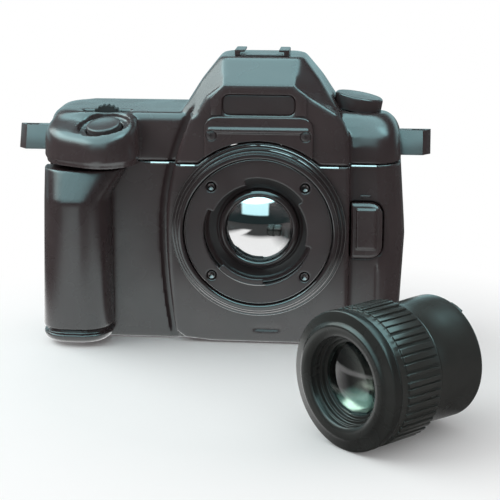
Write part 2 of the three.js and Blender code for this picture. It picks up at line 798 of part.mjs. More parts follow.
const gripHalf = gripWidth / 2;
const gripTop = seamZ - gripGap;
const facetZ = gripTop - gripFacet;
const topHalf = gripHalf + gripFlare / 2;
const topMid = gripMid + gripFlare / 2;
const footHalf = gripHalf + footFlare / 2;
const footMid = gripMid - footFlare / 2;

function gripBlock(inset) {
  const low = inset ? -5 : capHeight + fit;
  const foot = gripLevel(low, footHalf, footMid, gripReach - gripTaper, inset);
  const brow = gripLevel(facetZ, gripHalf, gripMid, gripReach, inset);
  const crown = gripLevel(gripTop - inset, topHalf, topMid, gripReach - gripSetback, inset);
  return join(hull(foot, brow), hull(brow, crown));
}
add("grip_shell", cut(gripBlock(0), gripBlock(wall)), plastic(deepBlack));

// End cap: rounded lip, a neck and a plug that goes up into the grip.
const lipTop = capHeight - neckHeight;
const capLevel = (z, draw) => gripLevel(z, footHalf - draw, footMid, gripReach - gripTaper - draw, 0);
const plugDraw = wall + fit + 0.2;
const cap = join(
  hull(
    capLevel(capLift, 3.8), capLevel(capLift + 0.6, 1.8), capLevel(capLift + 1.7, 0.5),
    capLevel(lipTop - 0.7, 0), capLevel(lipTop, 0.3),
  ),
  hull(capLevel(lipTop - 1, 1.4), capLevel(capHeight, 1.4)),
  hull(capLevel(capHeight - 1, plugDraw), capLevel(capHeight + 4, plugDraw)),
);
add("grip_end_cap", cap, plastic(deepBlack));

// Raised front panel: cut by the collar below, a rib across it, two screws.
const panelHalf = mountScrewSide + panelMargin;
const panelShape = roundedRect(-panelHalf, panelHalf, seamZ - 2 * panelRound, panelTop, panelRound);
let panel = slabY(panelShape, faceY - panelThick, faceY, 0.35);
const ribZ = panelTop - 5;
const panelRib = slabY(
  roundedRect(-panelHalf + 1.6, panelHalf - 1.6, ribZ - 0.8, ribZ + 0.8, 0.7),
  faceY - panelThick - 0.7, faceY - 0.5, 0.3,
);
panel = join(panel, panelRib);
panel = cut(panel, barY(0, axisHeight, tongueRadius + 0.6, -far, far, 64));
panel = panel.intersect(block(-far, far, -far, far, seamZ + fit, far));
panelScrewPlaces.forEach(([x, z]) => {
  const hole = barY(x, z, mountScrewRadius + 0.25, -far, far, 12);
  const sink = barY(x, z, smallHeadRadius + 0.25, -far, faceY - panelThick + 0.8, 16);
  panel = cut(panel, hole, sink);
});
add("front_panel", panel, plastic(bodyBlack));
panelScrewPlaces.forEach(([x, z], i) => {
  const headY = faceY - panelThick + 0.8 - smallHeadThick;
  const r = smallHeadRadius;
  const screw = screwAlongY(x, z, headY, panelScrewTip, r, smallHeadThick, mountScrewRadius);
  add(`panel_screw_${i + 1}`, screw, metal(0x6f6f6c));
});

// Bare name plate in its pocket.
const namePlate = slabY(
  roundedRect(-nameWidth / 2, nameWidth / 2, nameZ0, nameZ1, nameRound),
  faceY + 1.2 - nameThick, faceY + 1.2, 0.25,
);
add("name_plate", namePlate, plastic(0x353130, 0.35));

// Mount collar: three steps round the plate.
const collarInner = plateRadius + fit;
const step = collarBand / 3;
const collar = turned(
  [
    [collarInner, -faceY],
    [collarRadius, -faceY],
    [collarRadius, -faceY + 0.3 * collarHeight],
    [collarRadius - 0.3, -faceY + 0.36 * collarHeight],
    [collarRadius - step, -faceY + 0.4 * collarHeight],
    [collarRadius - step, -faceY + 0.7 * collarHeight],
    [collarRadius - step - 0.3, -faceY + 0.76 * collarHeight],
    [collarRadius - 1.8 * step, -faceY + 0.8 * collarHeight],
    [collarRadius - 1.8 * step, -faceY + 0.94 * collarHeight],
    [collarRadius - 2.1 * step, -faceY + collarHeight],
    [collarInner + 0.5, -faceY + collarHeight],
    [collarInner, -faceY + 0.9 * collarHeight],
  ],
  48,
);
add("mount_collar", onMount(collar), plastic(bodyBlack));

// Bayonet plate: three tabs between three notches.
function throatPath(tabR, notchR, grow) {
  const path = new THREE.Path();
  const half = THREE.MathUtils.degToRad(tabSpan) / 2 + grow;
  const first = THREE.MathUtils.degToRad(tabTurn);
  const middles = [0, 1, 2].map((k) => first + (k * 2 * Math.PI) / 3);
  const points = [];
  middles.forEach((m, i) => {
    const next = i < 2 ? middles[i + 1] : middles[0] + 2 * Math.PI;
    for (let k = 0; k <= 8; k++) {
      const a = m - half + (k / 8) * 2 * half;
      points.push(new THREE.Vector2(tabR * Math.cos(a), tabR * Math.sin(a)));
    }
    const [from, to] = [m + half, next - half];
    for (let k = 0; k <= 10; k++) {
      const a = from + (k / 10) * (to - from);
      points.push(new THREE.Vector2(notchR * Math.cos(a), notchR * Math.sin(a)));
    }
  });
  path.setFromPoints(points);
  return path;
}

const plateShape = new THREE.Shape().absarc(0, 0, plateRadius, 0, 2 * Math.PI, false);
plateShape.holes.push(throatPath(throatRadius, notchRadius, 0));
const plateRaw = new THREE.ExtrudeGeometry(plateShape, {
  depth: tabThick,
  bevelEnabled: false,
  curveSegments: 24,
});
plateRaw.rotateX(Math.PI / 2).translate(0, faceY - plateThick + tabThick, axisHeight);
const plateBack = cut(
  barY(0, axisHeight, plateRadius, faceY - plateThick + tabThick - 0.2, faceY, 48),
  barY(0, axisHeight, notchRadius, -far, far, 48),
);
let mountPlate = join(solid(plateRaw), plateBack);
const sinkY = faceY - plateThick + 1.2;
mountScrewPlaces.forEach(([x, z]) => {
  const hole = barY(x, z, mountScrewRadius + 0.25, -far, far, 12);
  const sink = barY(x, z, smallHeadRadius + 0.25, -far, sinkY, 16);
  mountPlate = cut(mountPlate, hole, sink);
});
add("mount_ring", mountPlate, plastic(deepBlack));
mountScrewPlaces.forEach(([x, z], i) => {
  const headY = sinkY - smallHeadThick;
  const r = smallHeadRadius;
  const screw = screwAlongY(x, z, headY, mountScrewTip, r, smallHeadThick, mountScrewRadius);
  add(`mount_screw_${i + 1}`, screw, metal(0x7d7d7a));
});

// Lens seat: a flanged tube behind the housing wall, with a ledge for the dome.
const flangeFace = -faceY - wall;
const seatRadius = notchRadius + 0.6;
const seatFlange = Math.hypot(mountScrewSide, mountScrewRise) + 2.6;
const ledge = flangeFace - seatDepth;
let seat = onMount(
  turned([
    [clearBore, ledge - 1.6],
    [seatRadius + 1.6, ledge - 1.6],
    [seatRadius + 1.6, flangeFace - 1.8],
    [seatFlange, flangeFace - 1.8],
    [seatFlange, flangeFace],
    [seatRadius, flangeFace],
    [seatRadius, ledge],
    [clearBore, ledge],
  ], 36),
);
mountScrewPlaces.forEach(([x, z]) => {
  seat = cut(seat, barY(x, z, mountScrewRadius + 0.25, faceY, 0, 12));
});
add("lens_seat", seat, plastic(deepBlack));

// Dome lens and the ring that holds its rim down.
const domeBack = ledge + 0.1;
const domeFace = domeBack + domeRim;
const domeProfile = [[0, domeBack], [domeRadius + 1.2, domeBack], [domeRadius + 1.2, domeFace]];
const domeSphere = (domeRadius ** 2 + domeRise ** 2) / (2 * domeRise);
const domeSteps = 8;
for (let k = 0; k <= domeSteps; k++) {
  const a = (1 - k / domeSteps) * Math.asin(Math.min(1, domeRadius / domeSphere));
  const h = domeSphere * Math.cos(a) - (domeSphere - domeRise);
  domeProfile.push([k === domeSteps ? 0 : domeSphere * Math.sin(a), domeFace + h]);
}
add("dome_lens", onMount(spun(domeProfile, 36)), clear(0xdfeeee));

const retainer = turned([
  [domeRadius + 0.1 * retainerRise, domeFace + 0.1],
  [seatRadius - fit, domeFace + 0.1],
  [seatRadius - fit, domeFace + retainerRise],
  [seatRadius - 0.32 * retainerRise, domeFace + retainerRise],
  [domeRadius + 0.52 * retainerRise, domeFace + 0.48 * retainerRise],
  [domeRadius + 0.32 * retainerRise, domeFace + 0.48 * retainerRise],
  [domeRadius + 0.1 * retainerRise, domeFace + 0.28 * retainerRise],
], 36);
add("dome_retainer", onMount(retainer), plastic(0x262120));

// Release button with its flange behind the wall, and its return spring.
const releaseTopY = frontY - releaseRise;
const flangeY = frontY + wall + fit;
const flangeBackY = flangeY + releaseFlangeThick;
const releaseButton = join(
  slabY(releaseShape(0), releaseTopY, flangeY + 0.5, 0.9),
  block(
    releaseX0 + 0.4, releaseX1 - 3.4, flangeY, flangeBackY,
    releaseZ0 - releaseFlange, releaseZ1 + releaseFlange,
  ),
  barY(releaseMid, axisHeight + releaseDrop, 1.5, flangeBackY - 0.5, flangeBackY + 2.2, 16),
);
add("release_button", releaseButton, plastic(bodyBlack, 0.4));

// Helical spring along Z from z0 to z1, as one unbroken wire.
class Helix extends THREE.Curve {
  constructor(radius, z0, z1, curls) {
    super();
    Object.assign(this, { radius, z0, z1, curls });
  }
  getPoint(t, target = new THREE.Vector3()) {
    const a = t * this.curls * 2 * Math.PI;
    const z = this.z0 + (this.z1 - this.z0) * t;
    return target.set(this.radius * Math.cos(a), this.radius * Math.sin(a), z);
  }
}

function spring(radius, wire, length, curls) {
  const sides = [0, 1, 2, 3, 4].map((k) => (k / 5) * 2 * Math.PI);
  const section = outline(sides.map((a) => [wire * Math.cos(a), wire * Math.sin(a)]));
  const helix = new Helix(radius, wire, length - wire, curls);
  return solid(new THREE.ExtrudeGeometry(section, {
    extrudePath: helix,
    steps: 8 * curls,
    bevelEnabled: false,
  }));
}

const releaseSpringLength = ribY - flangeBackY - 2 * fit;
const releaseSpring = spring(2.6, 0.3, releaseSpringLength, 4);
const releaseSpringFrame = new THREE.Group();
releaseSpringFrame.position.set(releaseMid, flangeBackY + fit, axisHeight + releaseDrop);
releaseSpringFrame.rotation.x = -Math.PI / 2;
camera.add(releaseSpringFrame);
add("release_spring", releaseSpring, metal(0xb5b5b0), releaseSpringFrame);

// Shutter button, its spring and the bracket that carries the spring.
const buttonTop = 0.4 - 0.3 * dishDepth;
const shutterButton = join(
  solid(spun([
    [0, flangeTop - shutterFlange],
    [shutterRadius, flangeTop - shutterFlange],
    [shutterRadius, buttonTop - 0.7],
    [shutterRadius - 0.6, buttonTop],
    [shutterRadius - 1.4, buttonTop],
    [0, buttonTop - 0.5],
  ], 40)),
  barOwn(shutterRadius + 1, flangeTop - shutterFlange - 0.4, flangeTop, 32),
  barOwn(2, flangeTop - shutterFlange - 2, flangeTop, 16),
);
add("shutter_button", shutterButton, plastic(0x3a3634, 0.4), shutterFrame);
const springTop = flangeTop - shutterFlange - 0.4 - fit;
const bracketZ = seamZ + 0.8;
const bracketThick = 1.6;
const cupRadius = 1.4 * shutterCoil;
const cupFall = cupRadius * Math.sin(Math.acos(shutterNormal.z)); // low side of the tilted cup
const cupTop = (bracketZ + bracketThick + cupFall - shutterZ) / shutterNormal.z;
const springLength = springTop - fit - cupTop;
const shutterSpringFrame = new THREE.Group();
shutterSpringFrame.position.set(0, 0, springTop - springLength);
shutterFrame.add(shutterSpringFrame);
add("shutter_spring", spring(shutterCoil, 0.1 * shutterCoil, springLength, 4), metal(0xb5b5b0), shutterSpringFrame);

const cup = barIn(shutterFrame, cupRadius, cupTop - 4 * shutterCoil, cupTop, 24);
const bracketDraw = wall + fit;
const bracketPlate = hull(
  bossLevel(bracketDraw, bracketZ), bossLevel(bracketDraw, bracketZ + bracketThick),
);
const bracketTrim = block(-far, far, -far, frontY + bracketDepth, bracketZ, far);
const bracket = join(bracketPlate, cup).intersect(bracketTrim);
add("shutter_bracket", bracket, plastic(deepBlack));

// Thumb wheel on its axle, and the bracket under the deck.
const wheelPoints = [];
for (let k = 0; k < wheelRibs * 4; k++) {
  const a = (k / (wheelRibs * 4)) * 2 * Math.PI;
  const r = k % 4 < 2 ? wheelRadius : wheelRadius - 0.5;
  wheelPoints.push([wheelX + r * Math.cos(a), wheelZ + r * Math.sin(a)]);
}
const [wheelFront, wheelRear] = [wheelY - wheelThick / 2, wheelY + wheelThick / 2];
const wheel = cut(
  slabY(outline(wheelPoints), wheelFront, wheelRear),
  barY(wheelX, wheelZ, axleRadius + 0.2, -far, far, 16),
);
add("thumb_wheel", wheel, plastic(deepBlack, 0.5));
const axleBack = wheelRear + run + 3.4;
const axle = barY(wheelX, wheelZ, axleRadius, wheelFront - 0.1, axleBack, 16);
add("wheel_axle", axle, metal(0x9a9a96));
const bracketTop = deckZ - wall;
const wheelBracket = cut(
  block(
    wheelX - 3.6, wheelX + 3.6, wheelRear + run, wheelRear + run + 3,
    wheelZ - axleRadius - 2, bracketTop - 0.02,
  ),
  barY(wheelX, wheelZ, axleRadius + 0.05, -far, far, 16),
);
add("wheel_bracket", wheelBracket, plastic(deepBlack));

// Side knob with its shaft, and the clip that holds it under the cover.
const clipThick = 1.2;
const shaftEnd = -9;
const knob = join(
  solid(spun([
    [0, 0],
    [knobRadius - 0.4, 0],
    [knobRadius, 0.4],
    [knobRadius, knobHeight - 0.8],
    [knobRadius - 0.8, knobHeight],
    [knobRadius - 1.6, knobHeight],
    [0, knobHeight + 0.2],
  ], 48)),
  barOwn(shaftRadius, shaftEnd, 0.5, 20),
);
const clipZ = shaftEnd + 1.6;
const clipGroove = cut(
  barOwn(shaftRadius + 1, clipZ - 0.2, clipZ + clipThick + 0.2, 20),
  barOwn(shaftRadius - 0.9, clipZ - 0.2, clipZ + clipThick + 0.2, 20),
);
add("side_knob", cut(knob, clipGroove), plastic(bodyBlack), knobFrame);
const clip = cut(
  barOwn(shaftRadius + 3, clipZ, clipZ + clipThick, 32),
  barOwn(shaftRadius - 0.6, clipZ - 1, clipZ + clipThick + 1, 20),
  block(0, far, -shaftRadius + 1, shaftRadius - 1, clipZ - 1, clipZ + clipThick + 1),
);
add("knob_clip", clip, metal(0xa8a8a4), knobFrame);

// Accessory shoe: two rails with a slot under their lips, and a pad between them.
const shoeFront = -8;
const railHalf = shoeSpan / 2;
const shoeBack = shoeFront + shoeLength;
const shoeZ = roofZ;
const shoeBase = 0.5;
const padHalf = railHalf - railWidth / 2 - fit;
const shoeOuter = railHalf + railWidth / 2;
const slotDeep = 0.5 * railWidth;
const shoeRail = (x0, x1) => block(x0, x1, shoeFront, shoeBack, shoeZ, shoeZ + railHeight);
const railSlot = (x0, x1) =>
  block(x0, x1, -far, far, shoeZ + shoeBase, shoeZ + railHeight - lipThick);
const shoe = cut(
  join(
    block(-shoeOuter, shoeOuter, shoeFront, shoeBack, shoeZ, shoeZ + shoeBase),
    shoeRail(-shoeOuter, -shoeOuter + railWidth),
    shoeRail(shoeOuter - railWidth, shoeOuter),
  ),
  railSlot(-shoeOuter + railWidth - slotDeep, shoeOuter - railWidth + slotDeep),
);
const shoePad = block(
  -padHalf, padHalf, shoeFront + fit, shoeBack - fit, shoeZ + shoeBase - 0.1, shoeZ + shoeBase + 0.2,
);
add("accessory_shoe", join(shoe, shoePad), plastic(0x3c3a38));

// Finder tube, eyepiece frame, window and cup at the back of the hump.
const tubeFront = faceY + wall + 3;
const tubeBack = backY + tubeShow;
const frameY0 = tubeBack - fit;
const eyeBack = frameY0 + eyeDepth;
const tube = cut(
  block(-finderHalf, finderHalf, tubeFront, tubeBack, finderZ0, finderZ1),
  block(
    -finderHalf + finderWall, finderHalf - finderWall, -far, far,
    finderZ0 + finderWall, finderZ1 - finderWall,
  ),
);
add("finder_tube", tube, plastic(deepBlack));
const eyeFrame = cut(
  slabY(
    roundedRect(
      -finderHalf - eyeBand, finderHalf + eyeBand,
      finderZ0 - 0.65 * eyeBand, finderZ1 + 0.6 * eyeBand, 0.6 * eyeBand,
    ),
    frameY0, eyeBack, 0.5,
  ),
  block(
    -finderHalf - fit, finderHalf + fit, -far, tubeBack + fit,
    finderZ0 - fit, finderZ1 + fit,
  ),
  block(
    -finderHalf + finderWall, finderHalf - finderWall, -far, far,
    finderZ0 + finderWall, finderZ1 - finderWall,
  ),
);
add("eyepiece_frame", eyeFrame, plastic(bodyBlack));
const eyeWindow = block(
  -finderHalf + finderWall + 0.1, finderHalf - finderWall - 0.1, backY - 1.4, backY + 0.2,
  finderZ0 + finderWall + 0.1, finderZ1 - finderWall - 0.1,
);
add("eyepiece_window", eyeWindow, clear(0xd8e4e4));
const eyecup = cut(
  slabY(
    roundedRect(
      -finderHalf - 0.75 * eyeBand, finderHalf + 0.75 * eyeBand,
      finderZ0 - 0.5 * eyeBand, finderZ1 + 0.45 * eyeBand, 0.5 * eyeBand,
    ),
    eyeBack, eyeBack + cupDepth, 0.3 * cupDepth,
  ),
  slabY(
    roundedRect(
      -finderHalf + 0.5 * finderWall, finderHalf - 0.5 * finderWall,
      finderZ0 + 0.65 * finderWall, finderZ1 - 0.65 * finderWall, 0.35 * eyeBand,
    ),
    -far, far,
  ),
);
add("eyecup", eyecup, plastic(0x171717, 0.8));

// Strap lugs: tapered loops with a slot from top to bottom and a square root.
function lug(end, side, lugReach) {
  const shape = outline([
    [end, lugY - lugDepth / 2],
    [end + side * (lugReach - 4), lugY - lugDepth / 2],
    [end + side * lugReach, lugY - lugDepth / 2 + 3.2],
    [end + side * lugReach, lugY + lugDepth / 2 - 3.2],
    [end + side * (lugReach - 4), lugY + lugDepth / 2],
    [end, lugY + lugDepth / 2],
  ]);
  const slotMid = end + side * (lugReach - 2 - lugSlotLong / 2);
  const loop = cut(
    slabZ(shape, lugZ - lugHeight / 2, lugZ + lugHeight / 2, 0.4),
    block(
      slotMid - lugSlotLong / 2, slotMid + lugSlotLong / 2,
      lugY - lugSlotWide / 2, lugY + lugSlotWide / 2, lugZ - far, lugZ + far,
    ),
  );
  const root = block(
    Math.min(end - side * (wall + 2), end + side), Math.max(end - side * (wall + 2), end + side),
    lugY - lugTenon / 2, lugY + lugTenon / 2, lugZ - lugTenon / 2, lugZ + lugTenon / 2,
  );
  return join(loop, root);
}
add("strap_lug_left", lug(bodyLeft - fit, -1, lugReachLeft), plastic(bodyBlack));
add("strap_lug_right", lug(rightEndX + fit, 1, lugReachRight), plastic(bodyBlack));

// Detached lens: its own frame has Z along the axis, from the rear rim to the front.
const lensLength = rearLength + ringLength + bezelLength;
const lensFrame = new THREE.Group();
const turn = THREE.MathUtils.degToRad(lensTurn);
const forward = new THREE.Vector3(-Math.sin(turn), -Math.cos(turn), 0);
const across = new THREE.Vector3(Math.cos(turn), -Math.sin(turn), 0);
const basis = new THREE.Matrix4().makeBasis(across, new THREE.Vector3(0, 0, 1), forward);
lensFrame.quaternion.setFromRotationMatrix(basis);
lensFrame.position.set(lensSide, -lensAhead, lensRadius);
lensFrame.position.addScaledVector(forward, -lensLength);
camera.add(lensFrame);

const rearRadius = lensRadius - rearStep;
const carrierRadius = lensRadius - ringWall;
const lensBore = carrierRadius - tubeWall;
const glassRadius = lensBore - fit - coneBand;
const ringStart = rearLength + run;
const ringEnd = rearLength + ringLength;
const bezelStart = ringEnd + run;
const barrel = turned([
  [lensBore, 0],
  [rearRadius - 0.5, 0],
  [rearRadius, 0.6],
  [rearRadius - 0.3, 0.45 * rearLength],
  [rearRadius, rearLength - 1.2],
  [rearRadius - 0.8, rearLength],
  [carrierRadius, rearLength],
  [carrierRadius, ringEnd + run],
  [lensBore, ringEnd + run],
], 48);
add("lens_barrel", solid(barrel), plastic(lensBlack), lensFrame);

// Focus ring: ribs along the axis between two plain lips.
const ringPoints = [];
for (let k = 0; k < ringRibs * 4; k++) {
  const a = (k / (ringRibs * 4)) * 2 * Math.PI;
  const r = k % 4 < 2 ? lensRadius - 0.1 : lensRadius - 0.1 - ribDepth;
  ringPoints.push([r * Math.cos(a), r * Math.sin(a)]);
}
const ringBore = barZ(0, 0, carrierRadius + run, -far, far, 48);
const focusRing = cut(slabZ(outline(ringPoints), ringStart, ringEnd), ringBore);
add("focus_ring", focusRing, plastic(lensBlack, 0.5), lensFrame);

// Bezel with a rounded rim and a sloped mouth, screwed on in front of the ring.
const mouthRadius = lensRadius - rimBand;
const bezel = turned([
  [lensBore, bezelStart],
  [lensRadius - 0.7, bezelStart],
  [lensRadius, bezelStart + 0.7],
  [lensRadius, lensLength - rimDrop - 0.6],
  [lensRadius - 0.3, lensLength - rimDrop],
  [lensRadius - 0.8, lensLength - 0.84 * rimDrop],
  [mouthRadius + 0.4, lensLength],
  [mouthRadius, lensLength - 0.05 * rimDrop],
  [lensBore - mouthLip, lensLength - 0.6],
  [lensBore - mouthLip, lensLength - 1.2],
  [lensBore, lensLength - 1.2],
], 48);
add("lens_bezel", solid(bezel), plastic(lensBlack), lensFrame);

// Stepped cone that carries the front element inside the barrel.
const coneR = lensBore - fit;
const coneFront = lensLength - 1.5;
const glassRise = 2.2;
const glassEdge = 1.4;
const glassSeat = coneFront - coneDepth - glassEdge;
const third = (coneR - glassRadius) / 3;
const cone = turned([
  [glassRadius - 1, glassSeat - 1.6],
  [coneR, glassSeat - 1.6],
  [coneR, coneFront],
  [coneR - 0.5, coneFront],
  [coneR - 0.6, coneFront - 0.32 * coneDepth],
  [coneR - third, coneFront - 0.35 * coneDepth],
  [coneR - third - 0.1, coneFront - 0.65 * coneDepth],
  [coneR - 2 * third, coneFront - 0.68 * coneDepth],
  [coneR - 2 * third - 0.1, coneFront - 0.97 * coneDepth],
  [glassRadius, coneFront - coneDepth],
  [glassRadius, glassSeat],
  [glassRadius - 1, glassSeat],
], 36);
add("lens_cone", solid(cone), plastic(lensBlack, 0.35), lensFrame);

// Front element: a shallow dome with a plain edge.
function elementProfile(radius, base, edge, rise, steps) {
  const ball = (radius ** 2 + rise ** 2) / (2 * rise);
  const profile = [[0, base], [radius, base]];
  for (let k = 0; k <= steps; k++) {
    const a = (1 - k / steps) * Math.asin(radius / ball);
    const h = ball * Math.cos(a) - (ball - rise);
    profile.push([k === steps ? 0 : ball * Math.sin(a), base + edge + h]);
  }
  return profile;
}
const frontGlass = elementProfile(glassRadius - 0.1, glassSeat + 0.1, glassEdge, glassRise, 6);
add("front_element", solid(spun(frontGlass, 32)), clear(0xdfeeee), lensFrame);

// Rear spigot: it plugs into the throat, and three nibs turn in behind the plate's tabs.
const spigotRadius = throatRadius - run;
const nibRadius = throatRadius + nibRise;
let spigot = barZ(0, 0, spigotRadius, -spigotLength, -fit, 40);
const nibHalf = THREE.MathUtils.degToRad(8);
[70, 190, 310].forEach((degrees) => {
  const m = THREE.MathUtils.degToRad(degrees);
  const points = [];
  for (let k = 0; k <= 2; k++) {
    const a = m - nibHalf + k * nibHalf;
    points.push([nibRadius * Math.cos(a), nibRadius * Math.sin(a)]);
  }
  for (let k = 2; k >= 0; k--) {
    const a = m - nibHalf + k * nibHalf;
    points.push([(spigotRadius - 1) * Math.cos(a), (spigotRadius - 1) * Math.sin(a)]);
  }
  spigot = join(spigot, slabZ(outline(points), -spigotLength, -spigotLength + 0.9));
});
const spigotTube = barZ(0, 0, lensBore - fit, -spigotLength, 5, 40);
spigot = cut(join(spigot, spigotTube), barZ(0, 0, lensBore - 2, -far, far, 40));
add("rear_spigot", spigot, plastic(deepBlack), lensFrame);

// Rear element inside the spigot's tube.
const rearGlass = elementProfile(lensBore - 2 - 0.1, 0.6, 1.4, 1.6, 4);
add("rear_element", solid(spun(rearGlass, 32)), clear(0xd8e6e6), lensFrame);

export default camera;
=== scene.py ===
import math
import bpy
from mathutils import Matrix, Vector


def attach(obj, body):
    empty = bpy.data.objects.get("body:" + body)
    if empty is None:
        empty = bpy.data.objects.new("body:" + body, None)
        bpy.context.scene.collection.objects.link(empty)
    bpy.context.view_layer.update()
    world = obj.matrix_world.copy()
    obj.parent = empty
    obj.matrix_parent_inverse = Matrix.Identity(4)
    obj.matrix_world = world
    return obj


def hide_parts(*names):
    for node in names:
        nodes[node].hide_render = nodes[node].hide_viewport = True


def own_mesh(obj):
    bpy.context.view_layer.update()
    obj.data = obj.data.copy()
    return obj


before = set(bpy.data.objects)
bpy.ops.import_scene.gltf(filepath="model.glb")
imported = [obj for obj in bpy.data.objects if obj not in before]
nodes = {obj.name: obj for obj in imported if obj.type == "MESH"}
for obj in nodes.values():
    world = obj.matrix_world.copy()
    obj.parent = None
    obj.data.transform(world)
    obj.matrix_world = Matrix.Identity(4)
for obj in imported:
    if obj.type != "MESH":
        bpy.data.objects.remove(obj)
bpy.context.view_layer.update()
scene = bpy.context.scene
print("stage: frame loaded,", len(nodes), "nodes")


def mm(length):
    return length * 0.001


def spot(x, y, z):
    return Vector((mm(x), mm(y), mm(z)))


# shared handling of objects

def setMode(mode):
    bpy.ops.object.mode_set(mode=mode)


def selectMesh():
    bpy.ops.mesh.select_all(action="SELECT")


def bakePlace():
    bpy.ops.object.transform_apply(location=True, rotation=True, scale=True)


def clearSelection():
    if bpy.context.object and bpy.context.object.mode != "OBJECT":
        setMode("OBJECT")
    bpy.ops.object.select_all(action="DESELECT")


def makeActive(piece):
    clearSelection()
    piece.select_set(True)
    bpy.context.view_layer.objects.active = piece


def applyModifier(piece, kind, **settings):
    makeActive(piece)
    modifier = piece.modifiers.new(kind.lower(), kind)
    for key, value in settings.items():
        setattr(modifier, key, value)
    bpy.ops.object.modifier_apply(modifier=modifier.name)


def easeEdges(piece, width, segments=3, angle=28):
    applyModifier(
        piece, "BEVEL", width=mm(width), segments=segments,
        limit_method="ANGLE", angle_limit=math.radians(angle),
    )


def shade(piece, angle=40):
    makeActive(piece)
    bpy.ops.object.shade_smooth_by_angle(angle=math.radians(angle))


def settle(piece, body, slot, material, *stoodFor):
    makeActive(piece)
    bakePlace()
    piece.data.materials.clear()
    piece.data.materials.append(material)
    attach(piece, body)
    if stoodFor:
        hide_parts(*stoodFor)


def copyOfNode(node, name):
    piece = bpy.data.objects.new(name, nodes[node].data.copy())
    scene.collection.objects.link(piece)
    makeActive(piece)
    bpy.ops.mesh.customdata_custom_splitnormals_clear()
    setMode("EDIT")
    selectMesh()
    bpy.ops.mesh.remove_doubles(threshold=mm(0.002))
    setMode("OBJECT")
    return piece


def joinInto(piece, *others):
    makeActive(piece)
    for other in others:
        other.select_set(True)
    bpy.ops.object.join()
    return piece


# one moulded skin out of solids that may overlap
def mouldSkin(piece, voxel, rounds):
    applyModifier(piece, "REMESH", mode="VOXEL", voxel_size=mm(voxel), adaptivity=0)
    applyModifier(piece, "SMOOTH", factor=0.5, iterations=rounds)
    makeActive(piece)
    bpy.ops.object.shade_smooth()
    return piece


# extra softening where test(point) gives a weight above 0
def softenWhere(piece, rounds, test):
    group = piece.vertex_groups.new(name="soft")
    for vertex in piece.data.vertices:
        weight = test(vertex.co * 1000)
        if weight > 0:
            group.add([vertex.index], min(weight, 1), "REPLACE")
    applyModifier(piece, "SMOOTH", factor=0.5, iterations=rounds, vertex_group="soft")
    piece.vertex_groups.clear()


def plainBox(name, low, high):
    clearSelection()
    middle = [(a + b) / 2 for a, b in zip(low, high)]
    sides = [mm(b - a) for a, b in zip(low, high)]
    bpy.ops.mesh.primitive_cube_add(size=1, location=spot(*middle), scale=sides)
    piece = bpy.context.object
    piece.name = name
    bakePlace()
    return piece


# a profile of (radius, height) points drawn out from one vertex, then spun about an axis
def turnedPiece(name, profile, foot, axis, steps=128, closed=True, sweep=2 * math.pi, side=None):
    axis = Vector(axis).normalized()
    side = side or axis.orthogonal().normalized()
    points = [foot + axis * mm(h) + side * mm(r) for r, h in profile]
    if closed:
        points.append(points[0])
    clearSelection()
    bpy.ops.mesh.primitive_plane_add(size=mm(1), location=points[0])
    piece = bpy.context.object
    piece.name = name
    bakePlace()
    setMode("EDIT")
    bpy.ops.mesh.select_mode(type="VERT")
    selectMesh()
    bpy.ops.mesh.merge(type="CENTER")
    for before, after in zip(points, points[1:]):
        bpy.ops.mesh.extrude_region_move(TRANSFORM_OT_translate={"value": after - before})
    selectMesh()
    bpy.ops.mesh.spin(steps=steps, angle=sweep, center=foot, axis=axis)
    selectMesh()
    bpy.ops.mesh.remove_doubles(threshold=mm(0.004))
    if sweep < 2 * math.pi:
        bpy.ops.mesh.fill_holes(sides=len(profile))
    bpy.ops.mesh.normals_make_consistent(inside=False)
    setMode("OBJECT")
    return piece


# points of a cap of a sphere, from its rim to its pole
def capPoints(radius, base, rise, count):
    ball = (radius ** 2 + rise ** 2) / (2 * rise)
    widest = math.asin(min(1, radius / ball))
    points = []
    for k in range(count + 1):
        a = widest * (1 - k / count)
        points.append((ball * math.sin(a), base + ball * math.cos(a) - ball + rise))
    return points


# shader node groups

def newGroup(name, inputs, outputs):
    group = bpy.data.node_groups.new(name, "ShaderNodeTree")
    for way, sockets in (("INPUT", inputs), ("OUTPUT", outputs)):
        for label, kind in sockets.items():
            group.interface.new_socket(label, in_out=way, socket_type="NodeSocket" + kind)
    return group, group.nodes.new("NodeGroupInput"), group.nodes.new("NodeGroupOutput")


# another socket is linked to the socket, anything else is set as its value
def feed(tree, socket, value):
    if isinstance(value, bpy.types.NodeSocket):
        tree.links.new(value, socket)
    else:
        socket.default_value = value


def opaque(colour):
    return (*colour, 1)


def noiseNode(tree, place, scale, detail, roughness=0.55):
    node = tree.nodes.new("ShaderNodeTexNoise")
    values = {"Vector": place, "Scale": scale, "Detail": detail, "Roughness": roughness}
    for label, value in values.items():
        feed(tree, node.inputs[label], value)
    return node.outputs["Fac"]


# a value carried from one range over to another
def softStep(tree, value, fromLow, fromHigh, toLow=0.0, toHigh=1.0):
    node = tree.nodes.new("ShaderNodeMapRange")
    ends = {"Value": value, "From Min": fromLow, "From Max": fromHigh, "To Min": toLow, "To Max": toHigh}
    for label, end in ends.items():
        feed(tree, node.inputs[label], end)
    return node.outputs["Result"]


def colourMix(tree, factor, first, second):
    node = tree.nodes.new("ShaderNodeMix")
    node.data_type = "RGBA"
    for socket, value in zip((node.inputs[0], *node.inputs[6:8]), (factor, first, second)):
        feed(tree, socket, value)
    return node.outputs[2]


def floatMix(tree, factor, first, second):
    node = tree.nodes.new("ShaderNodeMix")
    for socket, value in zip((node.inputs[0], *node.inputs[2:4]), (factor, first, second)):
        feed(tree, socket, value)
    return node.outputs[0]


